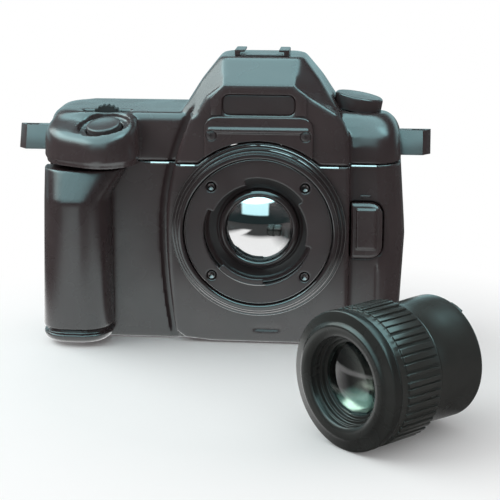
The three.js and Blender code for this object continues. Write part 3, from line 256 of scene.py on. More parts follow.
def mathNode(tree, operation, *values):
    node = tree.nodes.new("ShaderNodeMath")
    node.operation = operation
    for socket, value in zip(node.inputs, values):
        feed(tree, socket, value)
    return node.outputs["Value"]


# how far a place or a direction reaches along one way
def reachAlong(tree, place, way):
    node = tree.nodes.new("ShaderNodeVectorMath")
    node.operation = "DOT_PRODUCT"
    node.inputs[1].default_value = way
    tree.links.new(place, node.inputs[0])
    return node.outputs["Value"]


def anyOf(tree, sockets):
    seen = sockets[0]
    for socket in sockets[1:]:
        seen = mathNode(tree, "MAXIMUM", seen, socket)
    return seen


mouldLook = dict(cloudSpread=(0.32, 0.68), smearScale=90, smearSpread=(0.3, 0.7), grainRough=0.6)
scuffLook = dict(
    turn=(0.4, 0.7, 0.5), stretch=(60, 900, 500), hairSpread=(0.66, 0.74), patchScale=55,
    patchSpread=(0.52, 0.7), amount=0.35,
)


# cloudy tone, uneven gloss and the fine spark texture of a mould
def mouldGrainGroup():
    group, entry, leave = newGroup(
        "mould grain",
        {
            "Place": "Vector", "Deep": "Color", "Pale": "Color", "Cloud Scale": "Float",
            "Grain Scale": "Float", "Gloss Low": "Float", "Gloss High": "Float",
        },
        {"Tone": "Color", "Roughness": "Float", "Height": "Float"},
    )
    given = entry.outputs
    place, rough = given["Place"], mouldLook["grainRough"]
    cloud = noiseNode(group, place, given["Cloud Scale"], detail=4)
    grain = noiseNode(group, place, given["Grain Scale"], detail=2, roughness=rough)
    smear = noiseNode(group, place, mouldLook["smearScale"], detail=3)
    spread = softStep(group, cloud, *mouldLook["cloudSpread"])
    feed(group, leave.inputs["Tone"], colourMix(group, spread, given["Deep"], given["Pale"]))
    gloss = softStep(group, smear, *mouldLook["smearSpread"], given["Gloss Low"], given["Gloss High"])
    feed(group, leave.inputs["Roughness"], gloss)
    feed(group, leave.inputs["Height"], grain)
    return group


# thin hairline scuffs as a mask, denser in patches
def scuffGroup():
    group, entry, leave = newGroup("scuffs", {"Place": "Vector", "Amount": "Float"}, {"Mask": "Float"})
    given = entry.outputs
    turn = group.nodes.new("ShaderNodeMapping")
    turn.inputs["Rotation"].default_value = scuffLook["turn"]
    turn.inputs["Scale"].default_value = scuffLook["stretch"]
    feed(group, turn.inputs["Vector"], given["Place"])
    hair = noiseNode(group, turn.outputs["Vector"], scale=1, detail=2)
    patch = noiseNode(group, given["Place"], scuffLook["patchScale"], detail=2)
    thin = softStep(group, hair, *scuffLook["hairSpread"])
    zone = softStep(group, patch, *scuffLook["patchSpread"])
    lines = mathNode(group, "MULTIPLY", thin, zone)
    feed(group, leave.inputs["Mask"], mathNode(group, "MULTIPLY", lines, given["Amount"]))
    return group


mouldGrain = mouldGrainGroup()
scuffs = scuffGroup()


def newMaterial(name):
    material = bpy.data.materials.new(name)
    material.use_nodes = True
    tree = material.node_tree
    surface = tree.nodes["Principled BSDF"]
    place = tree.nodes.new("ShaderNodeTexCoord").outputs["Object"]
    return material, tree, surface, place


def placeGroup(tree, group, place, **values):
    node = tree.nodes.new("ShaderNodeGroup")
    node.node_tree = group
    tree.links.new(place, node.inputs["Place"])
    for label, value in values.items():
        node.inputs[label.replace("_", " ")].default_value = value
    return node


def addBump(tree, surface, height, strength, distance):
    bump = tree.nodes.new("ShaderNodeBump")
    for label, value in {"Strength": strength, "Distance": mm(distance), "Height": height}.items():
        feed(tree, bump.inputs[label], value)
    feed(tree, surface.inputs["Normal"], bump.outputs["Normal"])


def setSurface(tree, surface, values):
    for label, value in values.items():
        feed(tree, surface.inputs[label], value)


def mouldedGrain(tree, place, finish):
    low, high = finish["gloss"]
    return placeGroup(
        tree, mouldGrain, place, Deep=opaque(finish["deep"]), Pale=opaque(finish["pale"]),
        Cloud_Scale=finish["cloud"], Grain_Scale=finish["grain"], Gloss_Low=low, Gloss_High=high,
    )


plasticFinishes = {
    "body black": dict(
        deep=(0.045, 0.03, 0.031), pale=(0.06, 0.042, 0.043), scuff=(0.09, 0.08, 0.08),
        cloud=38, grain=1500, gloss=(0.22, 0.3), bump=0.1, specular=0.6, sheen=(0.82, 1.0, 1.0),
    ),
    # body black made darker for the grip and its end cap; the extra darkness is painted shade
    "grip black with painted shade": dict(
        deep=(0.038, 0.025, 0.026), pale=(0.05, 0.034, 0.035), scuff=(0.075, 0.066, 0.066),
        cloud=45, grain=1700, gloss=(0.24, 0.32), bump=0.08, specular=0.6, sheen=(0.82, 1.0, 1.0),
    ),
    "mount black": dict(
        deep=(0.042, 0.028, 0.029), pale=(0.055, 0.038, 0.039), scuff=(0.07, 0.06, 0.06),
        cloud=50, grain=1900, gloss=(0.3, 0.4), bump=0.1, specular=0.5, sheen=(0.75, 1.0, 1.0),
    ),
    "polished black": dict(
        deep=(0.03, 0.022, 0.023), pale=(0.042, 0.032, 0.033), scuff=(0.07, 0.06, 0.06),
        cloud=40, grain=1500, gloss=(0.08, 0.14), bump=0.03, specular=0.7, sheen=(0.85, 1.0, 1.0),
    ),
    "bright edge": dict(
        deep=(0.05, 0.045, 0.045), pale=(0.07, 0.064, 0.064), scuff=(0.09, 0.085, 0.085),
        cloud=40, grain=1500, gloss=(0.12, 0.18), bump=0.02, specular=0.5, sheen=(1.0, 1.0, 1.0),
        ior=3.0,
    ),
    "fine line": dict(
        deep=(0.045, 0.036, 0.036), pale=(0.06, 0.05, 0.05), scuff=(0.08, 0.075, 0.075),
        cloud=40, grain=1500, gloss=(0.12, 0.18), bump=0.02, specular=0.5, sheen=(1.0, 1.0, 1.0),
        ior=2.5,
    ),
    "lens black": dict(
        deep=(0.034, 0.033, 0.031), pale=(0.046, 0.045, 0.042), scuff=(0.06, 0.062, 0.058),
        cloud=48, grain=1600, gloss=(0.2, 0.28), bump=0.09, specular=0.5, sheen=(0.9, 1.0, 0.96),
    ),
    "rim black": dict(
        deep=(0.02, 0.0195, 0.0185), pale=(0.028, 0.0275, 0.026), scuff=(0.05, 0.052, 0.048),
        cloud=48, grain=1600, gloss=(0.22, 0.3), bump=0.09, specular=0.3, sheen=(0.9, 1.0, 0.96),
    ),
    "inner black": dict(
        deep=(0.012, 0.0095, 0.0095), pale=(0.019, 0.015, 0.015), scuff=(0.03, 0.028, 0.028),
        cloud=60, grain=1400, gloss=(0.45, 0.6), bump=0.2, specular=0.4, sheen=(1.0, 1.0, 1.0),
    ),
}


plainIor = 1.5
grainDepth = 0.05


def plasticMaterial(name, finish):
    material, tree, surface, place = newMaterial(name)
    grain = mouldedGrain(tree, place, finish)
    marks = placeGroup(tree, scuffs, place, Amount=scuffLook["amount"])
    worn = colourMix(tree, marks.outputs["Mask"], grain.outputs["Tone"], opaque(finish["scuff"]))
    setSurface(tree, surface, {
        "Base Color": worn, "Roughness": grain.outputs["Roughness"], "IOR": finish.get("ior", plainIor),
        "Specular IOR Level": finish["specular"], "Specular Tint": opaque(finish["sheen"]),
    })
    addBump(tree, surface, grain.outputs["Height"], finish["bump"], grainDepth)
    return material


finishes = {name: plasticMaterial(name, finish) for name, finish in plasticFinishes.items()}

clearFinishes = {
    "dome clear": dict(tint=(0.14, 0.12, 0.12), ior=1.5, coat=1.0, coatIor=4.4, gloss=(0.0, 0.02)),
    "element clear": dict(tint=(0.62, 0.66, 0.62), ior=1.5, coat=0.0, coatIor=1.5, gloss=(0.0, 0.02)),
    "window clear": dict(tint=(0.9, 0.96, 0.96), ior=1.48, coat=0.0, coatIor=1.5, gloss=(0.02, 0.06)),
}


clearLook = dict(smearScale=220, smearSpread=(0.4, 0.75), smearTone=0.96, coatRough=0.01)


# clear polished plastic with faint smears in its gloss
def clearMaterial(name, finish):
    material, tree, surface, place = newMaterial(name)
    smear = noiseNode(tree, place, clearLook["smearScale"], detail=3)
    smeared = [part * clearLook["smearTone"] for part in finish["tint"]]
    setSurface(tree, surface, {
        "Base Color": colourMix(tree, smear, opaque(finish["tint"]), opaque(smeared)),
        "Roughness": softStep(tree, smear, *clearLook["smearSpread"], *finish["gloss"]),
        "Transmission Weight": 1, "IOR": finish["ior"], "Coat Weight": finish["coat"],
        "Coat Roughness": clearLook["coatRough"], "Coat IOR": finish["coatIor"],
    })
    return material


for clearName, clearFinish in clearFinishes.items():
    finishes[clearName] = clearMaterial(clearName, clearFinish)

metalFinishes = {
    "zinc steel": dict(
        deep=(0.3, 0.3, 0.29), pale=(0.5, 0.5, 0.49), gloss=(0.25, 0.45), stretch=(300, 300, 3000),
    ),
    "dark screw": dict(
        deep=(0.06, 0.055, 0.055), pale=(0.14, 0.13, 0.13), gloss=(0.25, 0.4), stretch=(600, 600, 600),
    ),
    # silver foil and green foil go to foilShadow over their upper parts: painted shade that leaves a bright
    # crescent on the lower side of each dish
    "silver foil": dict(
        deep=(0.55, 0.64, 0.64), pale=(0.84, 0.92, 0.92), gloss=(0.14, 0.24), stretch=(200, 200, 200),
        paintedShade=dict(centre=(0, -12, 44), toward=(0.12, 0, -1), start=1.0, full=5.0),
    ),
    "green foil": dict(
        deep=(0.5, 0.57, 0.52), pale=(0.76, 0.84, 0.78), gloss=(0.16, 0.26), stretch=(240, 240, 240),
        paintedShade=dict(centre=(40, -122, 22.4), toward=(0.42, -0.42, -0.8), start=0.5, full=5.0),
    ),
}
# near-black painted shade for the upper parts of the foil dishes
foilShadow = (0.006, 0.005, 0.005)


# mask that rises along one direction from a point; it sets where the painted shade on the foil dishes ends
def riseAlong(tree, place, paintedShade):
    shift = tree.nodes.new("ShaderNodeVectorMath")
    shift.operation = "SUBTRACT"
    shift.inputs[1].default_value = spot(*paintedShade["centre"])
    tree.links.new(place, shift.inputs[0])
    along = reachAlong(tree, shift.outputs["Vector"], Vector(paintedShade["toward"]).normalized())
    return softStep(tree, along, mm(paintedShade["start"]), mm(paintedShade["full"]))


metalLook = dict(glossSpread=(0.3, 0.7), bump=0.08, depth=0.04)


def metalMaterial(name, finish):
    material, tree, surface, place = newMaterial(name)
    stretch = tree.nodes.new("ShaderNodeMapping")
    stretch.inputs["Scale"].default_value = finish["stretch"]
    feed(tree, stretch.inputs["Vector"], place)
    noise = noiseNode(tree, stretch.outputs["Vector"], scale=1, detail=3)
    colour = colourMix(tree, noise, opaque(finish["deep"]), opaque(finish["pale"]))
    # painted shade: the foil goes to foilShadow on the dark side of the mask
    if "paintedShade" in finish:
        colour = colourMix(tree, riseAlong(tree, place, finish["paintedShade"]), opaque(foilShadow), colour)
    setSurface(tree, surface, {
        "Base Color": colour, "Metallic": 1,
        "Roughness": softStep(tree, noise, *metalLook["glossSpread"], *finish["gloss"]),
    })
    addBump(tree, surface, noise, metalLook["bump"], metalLook["depth"])
    return material


for metalName, metalFinish in metalFinishes.items():
    finishes[metalName] = metalMaterial(metalName, metalFinish)


rubberFinish = dict(
    deep=(0.01, 0.01, 0.01), pale=(0.02, 0.02, 0.02), cloud=70, grain=1100, gloss=(0.6, 0.78),
    bump=0.3, depth=0.06,
)


def rubberMaterial(name, finish):
    material, tree, surface, place = newMaterial(name)
    grain = mouldedGrain(tree, place, finish)
    setSurface(tree, surface, {
        "Base Color": grain.outputs["Tone"], "Roughness": grain.outputs["Roughness"],
    })
    addBump(tree, surface, grain.outputs["Height"], finish["bump"], finish["depth"])
    return material


finishes["cup rubber"] = rubberMaterial("cup rubber", rubberFinish)
print("stage: finishes made,", len(finishes))

# camera and studio

view = dict(
    azimuth=5.0, elevation=14.5, target=(-5.1, 0, 30.7), distance=610, lens=113.6, sensor=36, nearest=10,
)


def outward(azimuth, elevation):
    a, e = math.radians(azimuth), math.radians(elevation)
    return Vector((math.sin(a) * math.cos(e), -math.cos(a) * math.cos(e), math.sin(e)))


def aimed(thing, target):
    thing.rotation_euler = (target - thing.location).to_track_quat("-Z", "Y").to_euler()


clearSelection()
bpy.ops.object.camera_add()
eye = bpy.context.object
eye.name = "eye"
eye.data.sensor_width = view["sensor"]
eye.data.lens = view["lens"]
eye.data.clip_start = mm(view["nearest"])
viewTarget = spot(*view["target"])
eye.location = viewTarget + outward(view["azimuth"], view["elevation"]) * mm(view["distance"])
aimed(eye, viewTarget)
scene.camera = eye

lamps = {
    "left window": dict(
        place=(-690, 0, 600), aim=(0, -20, 45), size=(1200, 420), glow=4.4, tint=(0.9, 1.0, 1.0),
    ),
}
for lampName, lamp in lamps.items():
    clearSelection()
    bpy.ops.object.light_add(type="AREA")
    box = bpy.context.object
    box.name = lampName
    box.data.shape = "RECTANGLE"
    box.data.size, box.data.size_y = (mm(side) for side in lamp["size"])
    box.data.energy = lamp["glow"] * math.pi * box.data.size * box.data.size_y
    box.data.color = lamp["tint"]
    box.location = spot(*lamp["place"])
    aimed(box, spot(*lamp["aim"]))

studio = dict(
    ambient=0.66, dim=0.05, skyTint=(0.62, 1.0, 1.06), floorTone=(0.86, 0.85, 0.85), floorFleck=1.02,
    floorRough=0.9, floorGloss=0.1, floorSide=4000, floorDrop=0.05,
    clearBack=60, clearNear=70, clearFar=170,
)
# pale box overhead that shows in the glossy plastic, cut off on the right
overhead = dict(azimuth=-38, elevation=80, edge=50, core=46, glow=4.8, rightNear=0.6, rightFar=0.8)
# small bright box up on the right
rightBox = dict(azimuth=70, elevation=58, edge=19, core=10, glow=9.0)
# lower front end of the overhead box, as limits of the direction's parts
frontBox = dict(glow=2.2, low=(0.22, 0.27), left=(-0.6, -0.54), right=(0.26, 0.2), front=(0.3, 0.5))
frontWays = dict(low=(0, 0, 1), left=(1, 0, 0), right=(1, 0, 0), front=(0, -1, 0))
# lit part of the floor that shows in the glossy plastic
sheet = dict(
    shine=0.92, glow=2.0, rest=0.03, left=(-150, -100), right=(25, 75), front=(95, 130),
    grip=(-72, -56), gripFront=(190, 250),
)
backdrop = dict(low=0.25, high=0.42, near=0.2, far=0.5, glow=0.9)
world = bpy.data.worlds.new("studio")
world.use_nodes = True
scene.world = world


# even light for the object, boxes and a pale backdrop for its gloss, plain white for the picture
def paintSky(tree, sky):
    link = tree.links.new
    path = tree.nodes.new("ShaderNodeLightPath").outputs
    place = tree.nodes.new("ShaderNodeTexCoord").outputs["Generated"]

    def roundBox(shape):
        facing = reachAlong(tree, place, outward(shape["azimuth"], shape["elevation"]))
        edge, core = (math.cos(math.radians(shape[label])) for label in ("edge", "core"))
        return softStep(tree, facing, edge, core, 0.0, shape["glow"])

    behind = softStep(tree, reachAlong(tree, place, (0, 1, 0)), backdrop["near"], backdrop["far"])
    low = softStep(tree, reachAlong(tree, place, (0, 0, 1)), backdrop["low"], backdrop["high"], 1.0, 0.0)
    shown = mathNode(tree, "MULTIPLY", mathNode(tree, "MULTIPLY", behind, low), backdrop["glow"])
    shown = mathNode(tree, "MAXIMUM", shown, studio["dim"])
    right = reachAlong(tree, place, (1, 0, 0))
    cut = softStep(tree, right, overhead["rightNear"], overhead["rightFar"], 1.0, 0.0)
    shown = mathNode(tree, "MAXIMUM", shown, mathNode(tree, "MULTIPLY", roundBox(overhead), cut))
    shown = mathNode(tree, "MAXIMUM", shown, roundBox(rightBox))
    patch = frontBox["glow"]
    for label, way in frontWays.items():
        within = softStep(tree, reachAlong(tree, place, way), *frontBox[label])
        patch = mathNode(tree, "MULTIPLY", within, patch)
    shown = mathNode(tree, "MAXIMUM", shown, patch)
    lit = floatMix(tree, path["Is Glossy Ray"], studio["ambient"], shown)
    plain = anyOf(tree, [path["Is Camera Ray"], path["Is Transmission Ray"]])
    link(floatMix(tree, plain, lit, 1.0), sky.inputs["Strength"])
    link(colourMix(tree, path["Is Glossy Ray"], (1, 1, 1, 1), opaque(studio["skyTint"])), sky.inputs["Color"])


paintSky(world.node_tree, world.node_tree.nodes["Background"])


# pale floor: a shadow near the object, plain white further out, and darker sides in the gloss
def floorMaterial():
    material, tree, surface, place = newMaterial("pale floor")
    link = tree.links.new
    speck = noiseNode(tree, place, scale=30, detail=2)
    fleck = [part * studio["floorFleck"] for part in studio["floorTone"]]
    setSurface(tree, surface, {
        "Base Color": colourMix(tree, speck, opaque(studio["floorTone"]), opaque(fleck)),
        "Roughness": studio["floorRough"], "Specular IOR Level": studio["floorGloss"],
    })
    shift = tree.nodes.new("ShaderNodeMapping")
    shift.inputs["Location"].default_value = spot(0, studio["clearBack"], 0)
    reach = tree.nodes.new("ShaderNodeVectorMath")
    reach.operation = "LENGTH"
    link(place, shift.inputs["Vector"])
    link(shift.outputs["Vector"], reach.inputs[0])
    path = tree.nodes.new("ShaderNodeLightPath").outputs
    far = softStep(tree, reach.outputs["Value"], mm(studio["clearNear"]), mm(studio["clearFar"]))
    seen = anyOf(tree, [path["Is Camera Ray"], path["Is Transmission Ray"]])
    clear = mathNode(tree, "MULTIPLY", far, seen)
    shine = mathNode(tree, "MULTIPLY", path["Is Glossy Ray"], sheet["shine"])
    across = reachAlong(tree, place, (1, 0, 0))
    ahead = reachAlong(tree, place, (0, -1, 0))

    def limit(value, ends, *levels):
        return softStep(tree, value, mm(ends[0]), mm(ends[1]), *levels)

    rightOf = limit(across, sheet["left"], 0, 1)
    within = mathNode(tree, "MULTIPLY", rightOf, limit(across, sheet["right"], 1, 0))
    leftOf = limit(across, sheet["grip"], 1, 0)
    byGrip = mathNode(tree, "MULTIPLY", leftOf, limit(ahead, sheet["gripFront"], 1, 0))
    nearby = mathNode(tree, "MAXIMUM", limit(ahead, sheet["front"], 1, 0), byGrip)
    side = floatMix(tree, mathNode(tree, "MULTIPLY", within, nearby), sheet["rest"], sheet["glow"])
    glow = tree.nodes.new("ShaderNodeEmission")
    mix = tree.nodes.new("ShaderNodeMixShader")
    link(floatMix(tree, path["Is Glossy Ray"], 1.0, side), glow.inputs["Strength"])
    link(mathNode(tree, "MAXIMUM", clear, shine), mix.inputs[0])
    link(surface.outputs["BSDF"], mix.inputs[1])
    link(glow.outputs["Emission"], mix.inputs[2])
    link(mix.outputs["Shader"], tree.nodes["Material Output"].inputs["Surface"])
    return material


clearSelection()
bpy.ops.mesh.primitive_plane_add(size=mm(studio["floorSide"]), location=spot(0, 0, -studio["floorDrop"]))
floor = bpy.context.object
floor.name = "floor"
bakePlace()
floor.data.materials.append(floorMaterial())
scene.view_settings.view_transform = "Standard"
print("stage: camera and studio set")

# moulded shells of the body

shutter = dict(centre=(-56.9, -24.5, 83.9), normal=(-0.09614, -0.25767, 0.96144), dish=9.6)
shutterAxis = Vector(shutter["normal"]).normalized()
shutterCentre = Vector(shutter["centre"])

# zones of the shells with softer edges: low end, high end and the width over which each fades in
softZones = dict(
    shoulder=dict(x=(36, 60, 3), z=(71, 92, 2)),
    leftEnd=dict(x=(-90, -67, 3), y=(-30, 25, 3), z=(72, 92, 2)),
    boss=dict(x=(-90, -41, 2), y=(-45, -18.5, 2), z=(74, 92, 3)),
    hump=dict(y=(-18.5, 15, 2), z=(88.5, 120, 2)),
    grip=dict(z=(9, 64, 2)),
)
dishRim = dict(radius=(shutter["dish"] - 1.2, shutter["dish"] + 4.5, 1), height=(-1.9, 3, 0.6))
outsideDish = (shutter["dish"] + 0.6, 60, 1)


def band(value, low, high, soft):
    return min((value - low) / soft, (high - value) / soft, 1)


def inZone(point, zone):
    return min(band(getattr(point, side), *ends) for side, ends in softZones[zone].items())


# distance from the shutter's axis, and height along it
def fromDish(point):
    away = point - shutterCentre
    height = away.dot(shutterAxis)
    return (away - shutterAxis * height).length, height


def nearDish(point):
    radius, height = fromDish(point)
    return min(band(radius, *dishRim["radius"]), band(height, *dishRim["height"]))


def coverRounds(point):
    radius = fromDish(point)[0]
    byDish = max(inZone(point, "leftEnd"), inZone(point, "boss"))
    return max(inZone(point, "shoulder"), min(byDish, band(radius, *outsideDish)))


def humpRounds(point):
    return inZone(point, "hump")


def gripRounds(point):
    return inZone(point, "grip")


shellSkins = {
    "front_shell": dict(piece="front_skin", voxel=0.6, rounds=4, finish="body black"),
    "rear_shell": dict(piece="rear_skin", voxel=0.65, rounds=5, finish="body black"),
    "top_cover": dict(
        piece="cover_skin", voxel=0.55, rounds=4, finish="body black",
        soften=[(40, nearDish), (140, coverRounds), (60, humpRounds)],
    ),
    # the grip and its end cap take the darker black, whose extra darkness is painted shade
    "grip_shell": dict(
        piece="grip_skin", voxel=0.5, rounds=4, finish="grip black with painted shade", soften=[(20, gripRounds)],
    ),
    "grip_end_cap": dict(piece="grip_foot", voxel=0.42, rounds=4, finish="grip black with painted shade"),
    "front_panel": dict(piece="panel_skin", voxel=0.3, rounds=3, finish="body black"),
    "mount_ring": dict(piece="mount_plate", voxel=0.34, rounds=3, finish="mount black"),
    "accessory_shoe": dict(piece="shoe_rails", voxel=0.22, rounds=6, finish="body black"),
    "eyepiece_frame": dict(piece="eye_frame", voxel=0.36, rounds=4, finish="body black"),
    "eyecup": dict(piece="eye_cup", voxel=0.36, rounds=6, finish="cup rubber"),
}
skinSlots = {
    "body black": "body_plastic", "grip black with painted shade": "dark_plastic", "mount black": "dark_plastic",
    "cup rubber": "soft_rubber",
}
for node, skin in shellSkins.items():
    piece = mouldSkin(copyOfNode(node, skin["piece"]), skin["voxel"], skin["rounds"])
    for rounds, test in skin.get("soften", []):
        softenWhere(piece, rounds, test)
    settle(piece, "camera_body", skinSlots[skin["finish"]], finishes[skin["finish"]], node)
    print("stage:", skin["piece"], len(piece.data.polygons), "faces")

# bright edge of the lower shell along the seam, one straight stretch at a time
seam = dict(low=67.6, high=68.45, thick=0.75, chamfer=0.4)
seamEdges = {
    "seam_grip_side": dict(left=-41.0, right=-33.4, front=-18.35),
    "seam_face_left": dict(left=-29.2, right=-23.2, front=-22.85),
    "seam_face_right": dict(left=22.2, right=29.8, front=-22.85),
    "seam_plain_side": dict(left=33.6, right=43.5, front=-18.35),
}
for edgeName, stretch in seamEdges.items():
    low = (stretch["left"], stretch["front"], seam["low"])
    high = (stretch["right"], stretch["front"] + seam["thick"], seam["high"])
    edgePiece = plainBox(edgeName, low, high)
    easeEdges(edgePiece, seam["chamfer"], segments=1)
    shade(edgePiece, angle=20)
    settle(edgePiece, "camera_body", "body_plastic", finishes["bright edge"])

# strap lugs: a box whose front leans back, cut off at its outer corner, with a slot through it
lugShape = dict(front=-3.8, back=4.6, low=69.8, high=78.4, lean=4.1, corner=3.0, edge=0.45)
lugSlot = dict(front=1.4, back=3.6, low=60, high=90, margin=2.2, long=5.0)
lugs = {
    "left_lug": dict(node="strap_lug_left", inner=-77.0, outer=-93.9),
    "right_lug": dict(node="strap_lug_right", inner=49.8, outer=63.1),
}


def pickVertices(piece, test):
    makeActive(piece)
    setMode("EDIT")
    bpy.ops.mesh.select_mode(type="VERT")
    bpy.ops.mesh.select_all(action="DESELECT")
    setMode("OBJECT")
    for vertex in piece.data.vertices:
        vertex.select = test(vertex.co * 1000)
    setMode("EDIT")


for lugName, lug in lugs.items():
    front, back, low, high = (lugShape[label] for label in ("front", "back", "low", "high"))
    outer = lug["outer"]
    left, right = sorted((lug["inner"], outer))
    piece = plainBox(lugName, (left, front, low), (right, back, high))
    middle, halfway = (front + back) / 2, (low + high) / 2
    pickVertices(piece, lambda point: point.y < middle and point.z > halfway)
    bpy.ops.transform.translate(value=spot(0, lugShape["lean"], 0))
    setMode("OBJECT")
    pickVertices(piece, lambda point: abs(point.x - outer) < 0.1 and point.y < back / 2)
    bpy.ops.mesh.bevel(offset=mm(lugShape["corner"]), segments=1)
    setMode("OBJECT")
    toward = 1 if outer < 0 else -1
    near = outer + toward * lugSlot["margin"]
    left, right = sorted((near, near + toward * lugSlot["long"]))
    slotBox = plainBox(
        "slotBox", (left, lugSlot["front"], lugSlot["low"]), (right, lugSlot["back"], lugSlot["high"])
    )
    applyModifier(piece, "BOOLEAN", operation="DIFFERENCE", object=slotBox, solver="EXACT")
    bpy.data.objects.remove(slotBox)
    easeEdges(piece, lugShape["edge"])
    shade(piece)
    settle(piece, "camera_body", "body_plastic", finishes["body black"], lug["node"])

# bare name plate in its pocket
namePlate = dict(edge=0.3)
plate = copyOfNode("name_plate", "name_plate_blank")
easeEdges(plate, namePlate["edge"], angle=40)
shade(plate)
settle(plate, "camera_body", "body_plastic", finishes["mount black"], "name_plate")


# box standing on the front with its two top corners cut or rounded
def archedBox(name, shape):
    half, high = shape["half"], shape["high"]
    piece = plainBox(name, (-half, shape["front"], shape["low"]), (half, shape["back"], high))
    makeActive(piece)
    setMode("EDIT")
    bpy.ops.mesh.select_all(action="DESELECT")
    bpy.ops.mesh.select_mode(type="EDGE")
    setMode("OBJECT")
    for edge in piece.data.edges:
        ends = [piece.data.vertices[i].co for i in edge.vertices]
        edge.select = all(end.z > mm(high - 0.01) for end in ends) and abs(ends[0].x - ends[1].x) < mm(0.01)
    setMode("EDIT")
    bpy.ops.mesh.bevel(offset=mm(shape["corner"]), segments=shape["segments"])
    setMode("OBJECT")
    return piece


# raised frame round the name plate, open below
nameFrame = dict(half=17.6, low=87.0, high=98.2, back=-22.2, front=-23.0, corner=5.0, segments=1, edge=0.3)
nameHole = dict(half=13.5, low=80.0, high=94.9, back=-20, front=-26, corner=2.6, segments=5)
border = archedBox("name_frame", nameFrame)
hole = archedBox("hole", nameHole)
applyModifier(border, "BOOLEAN", operation="DIFFERENCE", object=hole, solver="EXACT")
bpy.data.objects.remove(hole)
easeEdges(border, nameFrame["edge"], angle=25)
shade(border)
settle(border, "camera_body", "body_plastic", finishes["body black"])

# lens mount: collar, dome and its ring, with heights counted forward from the body's middle

mount = dict(foot=(0, 0, 44), axis=(0, -1, 0))
mountFoot = spot(*mount["foot"])


def mountPiece(name, profile, finish, slot, *stoodFor, edge=0.0, closed=True, steps=128, smooth=30):
    piece = turnedPiece(name, profile, mountFoot, mount["axis"], steps, closed)
    if edge:
        easeEdges(piece, edge, segments=2, angle=20)
    shade(piece, smooth)
    settle(piece, "camera_body", slot, finishes[finish], *stoodFor)


collar = dict(
    profile=[
        (27.8, 22.5), (32.6, 22.5), (32.5, 23.5), (32.2, 23.8), (31.5, 23.85), (31.3, 24.0), (31.2, 24.7),
        (30.9, 25.0), (30.3, 25.05), (30.1, 25.2), (30.0, 26.1), (29.7, 26.45), (29.0, 26.6), (28.3, 26.6),
        (27.9, 26.3),
    ],
    edge=0.12, steps=160,
)
mountPiece(
    "mount_collar_ring", collar["profile"], "polished black", "body_plastic", "mount_collar",
    edge=collar["edge"], steps=collar["steps"],
)

# fine bright beads on the steps of the collar and round the plate, and one short bead on a notch
beads = dict(size=0.24, steps=160, places=[(32.3, 23.75), (31.0, 24.95), (29.8, 26.4), (27.2, 25.05)])
notchBead = dict(place=(20.3, 25.0), size=0.3, steps=40, start=278, sweep=57)
beadSides = 6


def beadProfile(place, size):
    angles = [k * 2 * math.pi / beadSides for k in range(beadSides)]
    return [(place[0] + size * math.cos(a), place[1] + size * math.sin(a)) for a in angles]


beadRings = []
for place in beads["places"]:
    bead = beadProfile(place, beads["size"])
    beadRings.append(turnedPiece("collar_beads", bead, mountFoot, mount["axis"], beads["steps"]))
lines = joinInto(*beadRings)
shade(lines, angle=60)
settle(lines, "camera_body", "body_plastic", finishes["fine line"])
start, sweep = math.radians(notchBead["start"]), math.radians(notchBead["sweep"])
short = turnedPiece(
    "notch_bead", beadProfile(notchBead["place"], notchBead["size"]), mountFoot, mount["axis"],
    notchBead["steps"], sweep=sweep, side=Vector((math.cos(start), 0, math.sin(start))),
)
shade(short, angle=60)
settle(short, "camera_body", "dark_plastic", finishes["bright edge"])

dome = dict(radius=14.2, rim=15.4, back=12.7, ledge=15.1, face=18.6, rise=4.6, count=28)
domeProfile = [(0, dome["back"]), (dome["rim"], dome["back"])]
domeProfile += [(dome["rim"], dome["ledge"]), (dome["radius"], dome["ledge"])]
domeProfile += capPoints(dome["radius"], dome["face"], dome["rise"], dome["count"])
mountPiece("dome_glass", domeProfile, "dome clear", "clear_plastic", "dome_lens", closed=False)

# silvered dish in the light hole behind the dome, with painted shade over its upper part so that only a
# crescent below shines
domeDish = dict(radius=11.2, front=12.4, sag=3.2, thick=0.5, count=14, steps=96)


def dishProfile(dish):
    shape = []
    for k in range(dish["count"] + 1):
        r = dish["radius"] * k / dish["count"]
        shape.append((r, dish["front"] - dish["sag"] * (1 - (r / dish["radius"]) ** 2)))
    return shape + [(r, h - dish["thick"]) for r, h in reversed(shape)]


mountPiece(
    "dome_backing", dishProfile(domeDish), "silver foil", "steel",
    closed=False, steps=domeDish["steps"], smooth=50,
)

domeRing = dict(
    profile=[
        (14.7, 15.2), (20.6, 15.2), (20.6, 19.9), (20.3, 20.0), (20.0, 19.6), (19.6, 17.7), (18.9, 17.1),
        (16.2, 17.0), (15.6, 17.4), (15.1, 17.4), (14.7, 16.9),
    ],
    edge=0.14,
)
mountPiece(
    "dome_ring", domeRing["profile"], "mount black", "dark_plastic", "dome_retainer", edge=domeRing["edge"]
)

# polished lip that holds the edge of the dome
domeLip = dict(
    profile=[
        (14.72, 17.2), (15.0, 17.2), (15.0, 19.6), (14.6, 20.4), (13.6, 20.9), (13.1, 20.85), (12.6, 20.3),
        (12.55, 20.1), (13.4, 19.75), (14.4, 18.9), (14.72, 18.6),
    ],
    edge=0.06,
)
mountPiece("dome_lip", domeLip["profile"], "polished black", "dark_plastic", edge=domeLip["edge"])
print("stage: mount made")

# screws: a head with a hollow or a cross in it, copied to each place

